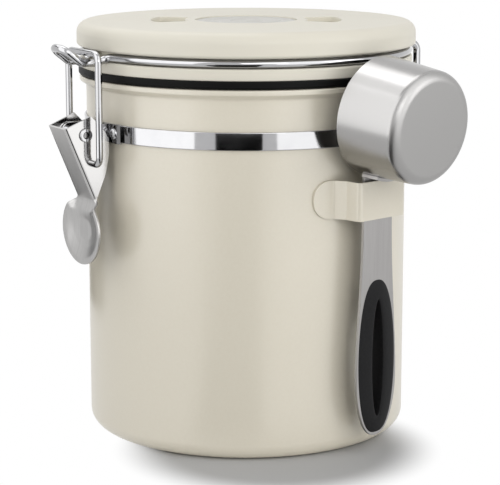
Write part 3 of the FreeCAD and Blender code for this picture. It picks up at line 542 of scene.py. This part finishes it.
def disc_points(rings=90, segments=288):
    """Height over radius and angle: a flat, smooth bumps at chosen radii, and rays cos(n a) in one band."""
    radius = np.linspace(0, disc_high[0], rings)[:, None]
    angle = np.arange(segments)[None] * 2 * np.pi / segments
    bumps = sum(np.exp(-((radius - at) / wide) ** 2) for at, wide in disc_bumps)
    band = np.exp(-((radius - ray_radius) / ray_reach) ** 4)
    rays = ray_height * band * (1 + np.cos(ray_count * angle))
    height = np.minimum(disc_high[2] - disc_flat + bump_height * bumps + rays, disc_high[2])
    return polar(radius, angle, height)


disc_face = disc_points()
disc_foot = disc_face[-1:] * (1, 1, 0) + (0, 0, disc_low[2])
disc_grid = np.concatenate([disc_face, disc_foot, disc_foot * (0, 0, 1)])
even_normals(add_grids("middle_disc", [disc_grid], disc_plastic, "lid", "centre_disc", "lid_centre_disc"))

# %% [markdown]
# ## Wires
#
# The lid wire runs from one hinge ear up and round the lid's groove, out to a loop at the front, and
# back. The latch's bail is a bow that hooks over this loop. Both are a circle carried along a route of
# straight runs and bends.

# %% Wire helper
end_flat, end_round, end_swell = 0.02, 0.3, 0.8
slant = (0.31, 0.23, 0.92)


def wire_points(route, radius, sides=18):
    """A circle carried along a route; its axes are square to the route and to one slanting direction."""
    heading = unit(np.gradient(route, axis=0))
    route = np.concatenate([route[:1], route[:1], route, route[-1:], route[-1:]])
    route[1] += heading[0] * end_flat
    route[2] += heading[0] * end_round
    route[-2] -= heading[-1] * end_flat
    route[-3] -= heading[-1] * end_round
    heading = np.concatenate([heading[:1], heading[:1], heading, heading[-1:], heading[-1:]])
    swell = np.ones(len(route))
    swell[[0, -1]] = 0
    swell[[1, -2]] = end_swell
    side = unit(np.cross(heading, slant))
    up = np.cross(side, heading)
    angle = np.arange(sides)[None, :, None] * 2 * np.pi / sides
    reach = (swell * radius)[:, None, None]
    return route[:, None] + reach * (np.cos(angle) * side[:, None] + np.sin(angle) * up[:, None])


def mirror_x(points):
    """The other half of a route: x turned to -x, and the order turned round."""
    return (points * (-1, 1, 1))[::-1]


# %% Lid wire
wire_radius, wire_bend = 1.5, 3.6
ring_level = (ring_top + groove_top) / 2
ring_reach = neck_radius + 0.1 + wire_radius
hinge_reach, hinge_level = 73.5, 120.8
hook_reach, hook_level = 71.4, 109.9
leg_end, leg_half, loop_half = 7.0, 13.0, 5.0
back_turn, front_turn = np.radians(21), np.radians(13)
valley_level, valley_half = ring_level - 1.6, 3.4
tip_reach, tip_level = 81.8, ring_level + 3.9
back_leave = np.array([ring_reach * np.sin(back_turn), ring_reach * np.cos(back_turn), ring_level])
front_leave = np.array([ring_reach * np.sin(front_turn), -ring_reach * np.cos(front_turn), ring_level])
back_y = back_leave[1] + (back_leave[0] - leg_half) * np.tan(back_turn)
front_y = front_leave[1] - (front_leave[0] - loop_half) * np.tan(front_turn)
leg = rounded_route([
    (leg_end, hinge_reach, hinge_level), (leg_half, hinge_reach, hinge_level),
    (leg_half, hinge_reach, ring_level), (leg_half, back_y, ring_level), back_leave], wire_bend)
strand = np.array([
    front_leave, (loop_half, front_y, ring_level), (loop_half, valley_half - hook_reach, valley_level),
    (loop_half, -valley_half - hook_reach, valley_level), (loop_half, -tip_reach, tip_level)])
front_loop = rounded_route(np.concatenate([strand, mirror_x(strand)]), wire_bend)
arc_steps = 96
arc_turn = np.linspace(np.pi / 2 - back_turn, front_turn - np.pi / 2, arc_steps)[1:-1]
arc = polar(ring_reach, arc_turn, ring_level)
lid_route = np.concatenate([leg, arc, front_loop, mirror_x(arc), mirror_x(leg)])
lid_wire_grid = wire_points(lid_route, wire_radius)
add_grids("lid_wire_form", [lid_wire_grid], polished, "lid", "polished_steel", "lid_wire", sharp=40)

# %% Bail
bail_radius, bail_half, bail_end, bail_bend, bar_gap = 1.3, 12.0, 5.4, 3.2, 0.8
bar_level = valley_level + wire_radius + bail_radius + bar_gap
half_bow = np.array([(bail_end, -hook_reach, hook_level), (bail_half, -hook_reach, hook_level),
                     (bail_half, -hook_reach, bar_level)])
bail_route = rounded_route(np.concatenate([half_bow, mirror_x(half_bow)]), bail_bend, steps=12)
bail_grid = wire_points(bail_route, bail_radius)
add_grids("bail_form", [bail_grid], polished, "bail", "polished_steel", "latch_bail", sharp=40)

# %% [markdown]
# ## Scoop and strap
#
# The scoop hangs on the drum's side: its cup is turned about a level axis that points outwards, so the
# same turning helper is used and its points are moved into the holder's own axes.

# %% Holder axes
holder_azimuth = 101.4
holder_turn = math.radians(holder_azimuth - 90)
outward = np.array([math.cos(holder_turn), math.sin(holder_turn), 0])
sideways = np.array([-math.sin(holder_turn), math.cos(holder_turn), 0])
upward = np.array([0, 0, 1.0])


def at_holder(points):
    """Points given as (sideways, outward, height) into the shared frame."""
    return points[..., :1] * sideways + points[..., 1:2] * outward + points[..., 2:] * upward


# %% Cup
cup_level, cup_rim_reach, cup_tilt = 129.1, 70.6, math.radians(6)
cup_rim, cup_base, cup_depth, cup_wall = 22.2, 20.8, 27.0, 0.8
cup_axis = outward * math.cos(cup_tilt) - upward * math.sin(cup_tilt)
cup_up = upward * math.cos(cup_tilt) + outward * math.sin(cup_tilt)
cup_middle = cup_rim_reach * outward + cup_level * upward
cup_profile = rounded_route([
    (0, cup_depth), (cup_base, cup_depth), (cup_rim, 0), (cup_rim - cup_wall, 0),
    (cup_base - cup_wall, cup_depth - cup_wall), (0, cup_depth - cup_wall),
], [0, 4.0, 0.3, 0.3, 3.2, 0], steps=14)
cup_turned = turned_points(cup_profile, 192)
cup_points = (cup_middle + cup_turned[..., :1] * sideways + cup_turned[..., 1:2] * cup_up
              + cup_turned[..., 2:] * cup_axis)


def cup_finish():
    """Lines round the wall, as noise that is short along the cup's axis, and plain satin on the base."""
    finish = Finish("cup_steel", Metallic=1.0)
    axes = Matrix(np.stack([-sideways, cup_axis, cup_up], axis=1).tolist())
    inside = finish.local(axes.to_euler(), (cup_middle * MM).tolist())
    depth = finish.along(inside, "Y")
    satin_low, satin_high = cup_depth - 3.4, cup_depth - 1.2
    base = finish.step(depth, satin_low * MM, satin_high * MM)
    lines = finish.noise(finish.scaled(inside, (40, 1500, 40)), detail=4, roughness=0.7)
    satin = finish.noise(scale=1500, detail=2)
    finish.paint(lines * (1 - base), srgb(160, 159, 158), srgb(162, 161, 160))
    wall_rough = finish.span(lines, 0.19, 0.27)
    finish.feed("Roughness", wall_rough + base * (finish.span(satin, 0.36, 0.42) - wall_rough))
    return finish.bump(lines * (1 - base), 0.06, 0.0001).material


even_normals(add_grids("cup", [cup_points], cup_finish(), "scoop", "brushed_steel", "scoop_cup"))

# %% Strap
strap_low, strap_high = [corner[2] for corner in box_of("scoop_holder")]
strap_middle, strap_half = (strap_low + strap_high) / 2, (strap_high - strap_low) / 2
sheet, strap_bevel = 1.0, 0.3
tab_reach = drum_radius + band_gap + sheet / 2
slot_side, slot_front = 11.4 + sheet / 2, drum_radius + 10 + sheet / 2
knee_side, rise_reach = 13.9, drum_radius + 4.0
tab_round, tab_span, foot_span = 6.8, 22.8, 15.2
tab_turn = np.linspace(tab_span / (tab_reach + sheet / 2), foot_span / tab_reach, 24)
tab_route = np.stack([tab_reach * np.sin(tab_turn), tab_reach * np.cos(tab_turn)], axis=1)
wall_route = rounded_route([
    tab_route[-1], (knee_side, np.sqrt(tab_reach ** 2 - knee_side ** 2)), (slot_side, rise_reach),
    (slot_side, slot_front), (0, slot_front)], [0, 1.6, 3.0, 1.3, 0], steps=8)
half_plan = np.concatenate([tab_route, wall_route[1:]])
plan = np.concatenate([half_plan, (half_plan * (-1, 1))[::-1][1:]])
strap_run = np.append(0, np.cumsum(np.linalg.norm(np.diff(plan, axis=0), axis=1)))
from_end = np.minimum(np.minimum(strap_run, strap_run[-1] - strap_run), tab_round)
half_height = strap_half - tab_round + np.sqrt(tab_round ** 2 - (tab_round - from_end) ** 2)
strap_rows = np.linspace(-1, 1, 15)
strap_points = np.empty((len(plan), len(strap_rows), 3))
strap_points[..., :2] = plan[:, None]
strap_points[..., 2] = strap_middle + half_height[:, None] * strap_rows
strap = add_grids("strap", [at_holder(strap_points)], coat, "canister", "cream_coat", "scoop_holder",
                  sharp=60, wrap_columns=False)
wall = strap.modifiers.new("wall", "SOLIDIFY")
wall.thickness = sheet * MM
wall.offset = 0
soften(strap, strap_bevel, 50)

# %% [markdown]
# The grip is soft black rubber moulded round the handle's window. Its outline and its slot are two
# closed curves of the same angle, and a rounded profile is carried from the slot's wall over the crown
# to the outer edge.

# %% Grip
grip_low, grip_high = [corner[2] for corner in box_of("scoop_grip")]
handle_face, handle_back, lip_depth = 71.1, 69.9, 3.2
grip_half, grip_widest, grip_fullness = 9.8, 36.0, (0.8, 0.72)
slot_half, slot_low, slot_high, slot_widest, slot_fullness = 2.9, 15.0, 59.8, 36.5, (1.25, 1.05)


def spindle(half, low, high, widest, fullness, count=192):
    """Closed outline: height follows a cosine, width a power of the sine, and it is widest at a level."""
    turn_angle = 2 * np.pi * (np.arange(count) / count)
    lift = np.cos(turn_angle)
    level = np.where(lift > 0, widest + lift * (high - widest), widest + lift * (widest - low))
    power = np.where(lift > 0, fullness[0], fullness[1])
    width = half * np.sign(np.sin(turn_angle)) * np.abs(np.sin(turn_angle)) ** power
    return np.stack([width, level], axis=1)


outline = spindle(grip_half, grip_low, grip_high, grip_widest, grip_fullness)
slot_line = spindle(slot_half, slot_low, slot_high, slot_widest, slot_fullness)
lip_back = handle_back - lip_depth
crown = [(0.0, 0.5), (0.03, 0.8), (0.1, 1.0), (0.2, 1.05), (0.35, 1.0), (0.55, 0.85), (0.75, 0.62),
         (0.88, 0.4), (0.96, 0.2), (1.0, 0.0), (0.45, 0.0)]
lip = [(0.4, 0.2), (0.35, 0.0), (-0.06, 0.0), (-0.1, 0.2)]
grip_rows = np.array([(share, handle_face + rise) for share, rise in crown]
                     + [(share, lip_back + rise) for share, rise in lip])
grip_flat = slot_line + (outline - slot_line) * grip_rows[:, :1, None]
grip_depth = np.broadcast_to(grip_rows[:, 1:], grip_flat.shape[:2])
grip_points = np.stack([grip_flat[..., 0], grip_depth, grip_flat[..., 1]], axis=-1)
even_normals(add_grids("grip", [at_holder(grip_points)], grip_rubber, "scoop", "black_grip", "scoop_grip",
                       sharp=50, wrap_rows=True))

# %% [markdown]
# ## Pressed and riveted pieces
#
# The brackets, the rivets, the handle, the date rings and the valve have their shape in the packed
# solids. A copy of each is merged into one skin, and its sharp edges get a small bevel.

# %% Bevelled copies
def bevelled_copy(node, name, material, body, slot, bevel, sharp=30):
    """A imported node's own triangles as one skin, with bevelled edges."""
    mesh = nodes[node].data.copy()
    mesh.name = name
    mesh.materials.clear()
    settle(mesh, sharp)
    soften(add_piece(name, mesh, material, body, slot, node), bevel, sharp)


pivot_place = (0, -0.0746, 0.1208)
# Painted shade: the rivet's bore is coloured near black out to these radii from the lever's axis.
bore_shade_full, bore_shade_end, bore_rough = 0.00125, 0.00145, 0.6


def bore_shade_finish():
    """Polished steel with a painted shade inside the rivet's bore: near black within a radius of the
    lever's axis.
    """
    finish = Finish("pivot_steel_bore_shade", Metallic=1.0)
    radius = finish.length(finish.scaled(finish.local(shift=pivot_place), (0, 1, 1)))
    outside = finish.step(radius, bore_shade_full, bore_shade_end)
    haze = finish.noise(scale=120)
    finish.paint(outside, srgb(26, 25, 24), srgb(176, 176, 177))
    rough = outside * (finish.span(haze, 0.05, 0.12) - bore_rough) + bore_rough
    return finish.feed("Roughness", rough).material


pressed = [
    ("latch_bracket", "latch_bracket_plate", polished, "canister", "polished_steel", 0.2),
    ("hinge_bracket", "hinge_bracket_plate", polished, "canister", "polished_steel", 0.2),
    ("latch_bracket_rivets", "latch_rivets", polished, "canister", "polished_steel", 0.1),
    ("hinge_bracket_rivets", "hinge_rivets", polished, "canister", "polished_steel", 0.1),
    ("lever_pivot_rivet", "pivot_rivet", bore_shade_finish(), "canister", "polished_steel", 0.25),
    ("scoop_handle", "handle", handle_steel, "scoop", "brushed_steel", 0.45),
    ("month_ring", "month_numbers_ring", dial_plastic, "month_dial", "dial_white", 0.1),
    ("day_ring", "day_numbers_ring", dial_plastic, "day_dial", "dial_white", 0.1),
    ("valve_seat", "valve_housing", plastic, "lid", "cream_plastic", 0.2),
    ("valve_cap", "valve_cover", plastic, "lid", "cream_plastic", 0.2),
    ("valve_disc", "valve_membrane", seal_rubber, "valve_flap", "valve_rubber", 0.1),
]
for facts in pressed:
    bevelled_copy(*facts)
print("bevelled copies", len(pressed))

# %% [markdown]
# The two rings tell the date of the last filling: twelve months inside, thirty-one days outside. The
# numbers are printed, so each is a flat text made into a mesh, turned to its place on the ring and
# joined to the others.

# %% Dial numbers
ink_height = 0.03


def print_finish():
    """Worn dark ink."""
    finish = Finish("dial_print")
    wear = finish.noise(scale=700)
    finish.paint(wear, srgb(58, 56, 52), srgb(84, 81, 75))
    return finish.roughen(wear, 0.5, 0.65).material


def ring_numbers(name, count, radius, size, level):
    """Numbers from 1 to count, evenly round a ring of this radius, with their tops outwards."""
    printed = bmesh.new()
    for place in range(count):
        letters = bpy.data.curves.new(name, "FONT")
        letters.body = str(place + 1)
        letters.size, letters.extrude = size * MM, ink_height * MM
        letters.align_x, letters.align_y = "CENTER", "CENTER"
        carrier = bpy.data.objects.new(name, letters)
        number = bpy.data.meshes.new_from_object(carrier)
        turn_to = Matrix.Rotation(-2 * math.pi * place / count, 4, "Z")
        number.transform(turn_to @ Matrix.Translation((0, radius * MM, (level + ink_height) * MM)))
        printed.from_mesh(number)
        bpy.data.meshes.remove(number)
        bpy.data.objects.remove(carrier)
        bpy.data.curves.remove(letters)
    mesh = bpy.data.meshes.new(name)
    printed.to_mesh(mesh)
    printed.free()
    return mesh


dial_print = print_finish()
for ring_name, count, size, ring_inner in (("month", 12, 4.6, 22.8), ("day", 31, 3.8, 30.2)):
    ring_corner = box_of(ring_name + "_ring")[1]
    ring_middle = (ring_corner[0] + ring_inner) / 2
    numbers = ring_numbers(ring_name + "_numbers", count, ring_middle, size, ring_corner[2])
    add_piece(ring_name + "_numbers", numbers, dial_print, ring_name + "_dial", "black_seal")
    print(ring_name, "numbers", len(numbers.polygons), "faces")

# %% [markdown]
# ## Latch lever
#
# The lever is pressed from one sheet: a web with two cheeks folded back from it, and an oval dished
# thumb pad. Each row of the channel's grid runs from the web's straight line to the cheeks' curved back
# edge. The pad goes on from the web's last row: its rows widen into the oval, and the dish's profile,
# which opens into the web at the top, says how far out each point lies.

# %% Channel
lever_half, lever_sheet, lever_fold, least_fold = 7.1, 1.0, 1.0, 0.12
web_top, web_low = np.array([83.0, 123.4]), np.array([71.5, 96.4])


def even_points(route, count):
    """The same route with evenly spaced points."""
    run = np.append(0, np.cumsum(np.linalg.norm(np.diff(route, axis=0), axis=1)))
    spots = np.linspace(0, run[-1], count)
    return np.stack([np.interp(spots, run, route[:, axis]) for axis in range(route.shape[1])], axis=1)


def sheet_loop(outer, inner):
    """Closes an outer and an inner grid of the same shape into one thick sheet."""
    loop = np.concatenate([outer, inner[:, ::-1]], axis=1)
    middle = (outer + inner) / 2
    ends = np.concatenate([middle, middle[:, ::-1]], axis=1)
    return np.concatenate([ends[:1], loop, ends[-1:]])


def channel_half(bend, inner_bend, length):
    """(across, depth) from the web's middle, round the fold and along a cheek, for every row."""
    flat = np.linspace(0, 1, 8)[None]
    round_off = np.linspace(0, np.pi / 2, 8)[None, 1:]
    far = np.linspace(0, 1, 14)[None, 1:]
    across = np.concatenate([flat * (lever_half - bend), lever_half - bend + inner_bend * np.sin(round_off),
                             lever_half - bend + inner_bend + 0 * far], axis=1)
    depth = np.concatenate([bend - inner_bend + 0 * flat, bend - inner_bend * np.cos(round_off),
                            bend + far * (length - bend)], axis=1)
    across = np.concatenate([-across[:, :0:-1], across], axis=1)
    return across, np.concatenate([depth[:, :0:-1], depth], axis=1)


lever_rows = 72
web_line = web_top + np.linspace(0, 1, lever_rows)[:, None] * (web_low - web_top)
back_line = even_points(rounded_route([
    (72.2, 127.7), (68.0, 123.4), (64.9, 119.4), (64.9, 112.9), (66.5, 105.4), (70.3, 96.4)],
    [0, 2.0, 3.5, 5.0, 8.0, 0]), lever_rows)
cheek_run = np.linalg.norm(back_line - web_line, axis=1)[:, None]
cheek_way = (back_line - web_line) / cheek_run
row_fold = np.minimum(lever_fold, 0.8 * cheek_run)


def channel_side(inner_bend):
    """The channel's rows, each laid out from the web's line towards the back line."""
    across, depth = channel_half(row_fold, inner_bend, cheek_run)
    reach = web_line[:, :1] + depth * cheek_way[:, :1]
    return np.stack([across, -reach, web_line[:, 1:] + depth * cheek_way[:, 1:]], axis=-1)


channel = sheet_loop(channel_side(row_fold), channel_side(np.maximum(row_fold - lever_sheet, least_fold)))
print("channel", channel.shape)

# %% Thumb pad
pad_reach, pad_level = 73.85, 83.9
pad_radius, pad_half, pad_edge, back_scale = 13.0, 14.9, 0.3, 0.985
neck_levels, neck_power, fold_level = (6.0, 9.0), 6, 8.0
trough_run, trough_end, trough_levels, trough_side = 6.0, 72.4, (3.0, 9.5), (3.5, 9.5)
widen_level, widen_reach = 6.0, 4.5
pad_dish = rounded_route([
    (0, 2.2), (4.3, 2.2), (7.0, 1.6), (11.0, 0.15), (pad_radius, 0.0), (pad_radius + 3, -0.3),
], [0, 2.5, 4.0, 3.0, 1.0, 0])
web_slope = (web_top - web_low)[0] / (web_top - web_low)[1]
trough_top = web_low[1] - pad_level


def smooth_step(values, low, high):
    """0 below low, 1 above high and 3 t^2 - 2 t^3 between."""
    share = np.clip((values - low) / (high - low), 0, 1)
    return share * share * (3 - 2 * share)


def dish_reach(across, height):
    """How far out the pad lies: the dish's depth at the oval's own radius.

    Between the cheeks its top opens into a trough, a cubic from the web's slope to the dish's edge.
    """
    ring = np.hypot(across * pad_radius / pad_half, height)
    face = pad_reach - np.interp(ring, *pad_dish.T)
    fall = np.clip((trough_top - height) / trough_run, 0, 1)
    trough = (web_low[0] + (trough_end - web_low[0]) * (3 * fall ** 2 - 2 * fall ** 3)
              - web_slope * trough_run * (fall ** 3 - 2 * fall ** 2 + fall))
    grow = widen_reach * smooth_step(height, widen_level, trough_top)
    beside = smooth_step(np.abs(across), trough_side[0] + grow, trough_side[1] + grow)
    opened = smooth_step(height, *trough_levels) * (1 - beside)
    return face + opened * (trough - face)


pad_turn = np.linspace(np.radians(62), -np.pi / 2, 72)
oval_levels = pad_radius * np.sin(pad_turn)
upper_levels = np.linspace(trough_top, oval_levels[0], 6)[:-1]
pad_height = np.concatenate([upper_levels, oval_levels])[:, None]
oval = pad_half * np.sqrt(np.maximum(1 - (pad_height / pad_radius) ** 2, 0))
neck = lever_half * smooth_step(pad_height, *neck_levels)
pad_width = (neck ** neck_power + oval ** neck_power) ** (1 / neck_power)
wide_round = pad_edge + (row_fold[-1] - pad_edge) * smooth_step(pad_height, fold_level, trough_top)
edge_round = np.minimum(wide_round, pad_width / 2)
edge_turn = np.linspace(0, np.pi / 2, 6)[None, 1:]
flat_across = np.linspace(-1, 1, 45) * (pad_width - edge_round)
edge_across = pad_width - edge_round * (1 - np.sin(edge_turn))
edge_drop = edge_round * (1 - np.cos(edge_turn))
pad_across = np.concatenate([-edge_across[:, ::-1], flat_across, edge_across], axis=1)
pad_drop = np.concatenate([edge_drop[:, ::-1], 0 * flat_across, edge_drop], axis=1)


def pad_side(across, drop):
    """The pad's rows, set back by a drop."""
    level = pad_level + pad_height + 0 * across
    return np.stack([across, drop - dish_reach(across, pad_height), level], axis=-1)


pad_sheet = sheet_loop(pad_side(pad_across, pad_drop), pad_side(back_scale * pad_across, lever_sheet))
print("pad", 2 * pad_half, "by", 2 * pad_radius)

# %% Lever finish
cheek_side, cheek_foot = (0.0056, 0.0062), (0.0968, 0.0982)
cheek_shade, cheek_rough = 0.6, 0.12


def lever_finish():
    """Satin along the web and on the pad, polished on the cheeks, which lie beyond the web's half width."""
    finish = Finish("lever_steel", Metallic=1.0)
    place = finish.place()
    side = finish.along(place, "X")
    cheek = (finish.step(side.math("ABSOLUTE", side), *cheek_side)
             * finish.step(finish.along(place, "Z"), *cheek_foot))
    lines = finish.noise(finish.scaled(place, (1400, 50, 50)), detail=4, roughness=0.7)
    shade = lines * (1 - cheek) + cheek * cheek_shade
    finish.paint(shade, srgb(160, 159, 158), srgb(190, 189, 188))
    satin = finish.span(lines, 0.26, 0.4)
    finish.feed("Roughness", satin + cheek * (cheek_rough - satin))
    return finish.bump(lines * (1 - cheek), 0.08, 0.0001).material


even_normals(add_grids("lever", [channel, pad_sheet], lever_finish(), "lever", "brushed_steel",
                       "latch_lever", sharp=40))

# %% [markdown]
# ## Studio
#
# The canister stands on a white floor among six soft lamps. Polished steel shows whatever is round it,
# and it needs dark lines to read as metal, so four black cards stand where reflections alone see them.
# The floor glows white for the camera, apart from a soft round where the canister's shadow lies; inside it
# the camera and reflections see a darker paint than diffuse light does, a painted shadow over the lamps'
# real one.

# %% Floor and world
def add_sheet(name, corners, finish):
    """A flat sheet of the studio from its four corners in metres."""
    mesh = bpy.data.meshes.new(name)
    mesh.from_pydata(np.asarray(corners, float).tolist(), [], [(0, 1, 2, 3)])
    mesh.materials.append(finish.material)
    sheet_object = bpy.data.objects.new(name, mesh)
    bpy.context.scene.collection.objects.link(sheet_object)
    return sheet_object


floor_half = 4.0
shadow_middle, shadow_full, shadow_end = (0.043, -0.013, 0.0), 0.040, 0.064
# Painted shadow: inside the round, the paint that the camera and reflections see is darker than the one
# diffuse light sees.
floor_paint, painted_shadow_paint = 0.8, 0.45
floor_finish = Finish("floor_white", Roughness=1.0, Emission_Strength=1.0, Specular_IOR_Level=0.0)
away = floor_finish.length(floor_finish.local(shift=shadow_middle))
seen = floor_finish.seen_directly()
glow = seen * floor_finish.step(away, shadow_full, shadow_end)
paint = (1 - glow) * floor_finish.span(seen, floor_paint, painted_shadow_paint)
floor_finish.feed("Emission Color", floor_finish.grey(glow))
floor_finish.feed("Base Color", floor_finish.grey(paint))
floor_corners = np.array([(-1, -1, 0), (1, -1, 0), (1, 1, 0), (-1, 1, 0)]) * floor_half
add_sheet("floor", floor_corners, floor_finish)

world = bpy.data.worlds.new("studio")
world.use_nodes = True
world_light = 0.2
sky = Graph(world.node_tree, world.node_tree.nodes["Background"])
sky.surface.inputs["Color"].default_value = (1, 1, 1, 1)
sky.feed("Strength", sky.span(sky.seen_directly(), world_light, 1.0))
bpy.context.scene.world = world
print("floor", 2 * floor_half, "m wide, world light", world_light)

# %% Lamps and cards
view_azimuth = 58.0


def toward(azimuth, elevation=0.0):
    """Direction from the canister, by degrees to the right of the camera and above the floor."""
    around, up = math.radians(view_azimuth + azimuth), math.radians(elevation)
    return Vector((math.sin(around) * math.cos(up), -math.cos(around) * math.cos(up), math.sin(up)))


def add_lamp(name, azimuth, elevation, distance, size, brightness, target=(0, 0, 0.08)):
    """Soft lamp of this width and height aimed at the canister; its power is brightness * pi * area."""
    direction = toward(azimuth, elevation)
    data = bpy.data.lights.new(name, "AREA")
    data.shape = "RECTANGLE"
    data.size, data.size_y = size
    data.energy = brightness * math.pi * size[0] * size[1]
    lamp = bpy.data.objects.new(name, data)
    lamp.location = Vector(target) + direction * distance
    lamp.rotation_mode = "QUATERNION"
    lamp.rotation_quaternion = direction.to_track_quat("Z", "Y")
    bpy.context.scene.collection.objects.link(lamp)


def add_dark_sheet(name, corners):
    """Black card that is seen in reflections alone."""
    finish = Finish(name, Roughness=1.0, Base_Color=(0.006, 0.006, 0.006, 1.0), Specular_IOR_Level=0.0)
    card = add_sheet(name, corners, finish)
    card.visible_camera = card.visible_diffuse = card.visible_shadow = False
    card.visible_transmission = False


def add_card(name, middle, width, low, high):
    """Upright black card that stands square to the canister's axis."""
    along = Vector((-middle.y, middle.x, 0)).normalized() * width / 2
    places = ((-1, low), (1, low), (1, high), (-1, high))
    add_dark_sheet(name, [(*(middle + along * side).xy, height) for side, height in places])


add_lamp("left_lamp", -56, 20, 0.42, (0.38, 0.70), 1.2, (0, 0, 0.10))
add_lamp("back_lamp", -128, 53, 0.6, (0.55, 0.46), 1.0, (0, 0, 0.12))
add_lamp("right_lamp", 46, 22, 0.45, (0.50, 0.80), 1.05, (0, 0, 0.12))
add_lamp("side_lamp", 68, 18, 0.5, (0.25, 0.25), 1.4)
add_lamp("front_lamp", 12, 24, 0.8, (0.40, 0.25), 2.6)
add_lamp("top_lamp", -160, 77, 0.8, (0.40, 0.40), 1.75)
add_card("front_card", toward(-4.5) * 0.36, 0.19, 0.0, 0.088)
add_card("cup_card", toward(-112) * 0.5, 0.36, 0.36, 0.43)
add_card("latch_card", Vector((-0.10, -0.066, 0)), 0.07, 0.030, 0.090)
card_lift = 0.001
card_places = ((-26, 0.09), (8, 0.09), (10, 0.36), (-26, 0.36))
card_corners = [toward(azimuth) * reach for azimuth, reach in card_places]
add_dark_sheet("floor_card", [(*corner.xy, card_lift) for corner in card_corners])
print("lamps and cards set")

# %% [markdown]
# ## Camera
#
# The camera was solved from the photograph's edges: a long lens, a little above the lid, looking down
# by eleven degrees.

# %% Camera
frame_width = 500
focal_pixels = 1915.1
camera_reach = 0.7494
camera_height = 0.2179
camera_pitch = 0.193
camera_yaw = 0.002
camera_data = bpy.data.cameras.new("camera")
camera_data.sensor_width = 36.0
camera_data.lens = focal_pixels / frame_width * camera_data.sensor_width
camera = bpy.data.objects.new("camera", camera_data)
bpy.context.scene.collection.objects.link(camera)
ahead, right = -toward(0), toward(90)
aim = (ahead * math.cos(camera_yaw) + right * math.sin(camera_yaw)) * math.cos(camera_pitch)
aim.z = -math.sin(camera_pitch)
camera.location = -ahead * camera_reach + Vector((0, 0, camera_height))
camera.rotation_mode = "QUATERNION"
camera.rotation_quaternion = aim.to_track_quat("-Z", "Y")
bpy.context.scene.camera = camera
bpy.context.scene.view_settings.view_transform = "Standard"
print("lens", round(camera_data.lens, 1))
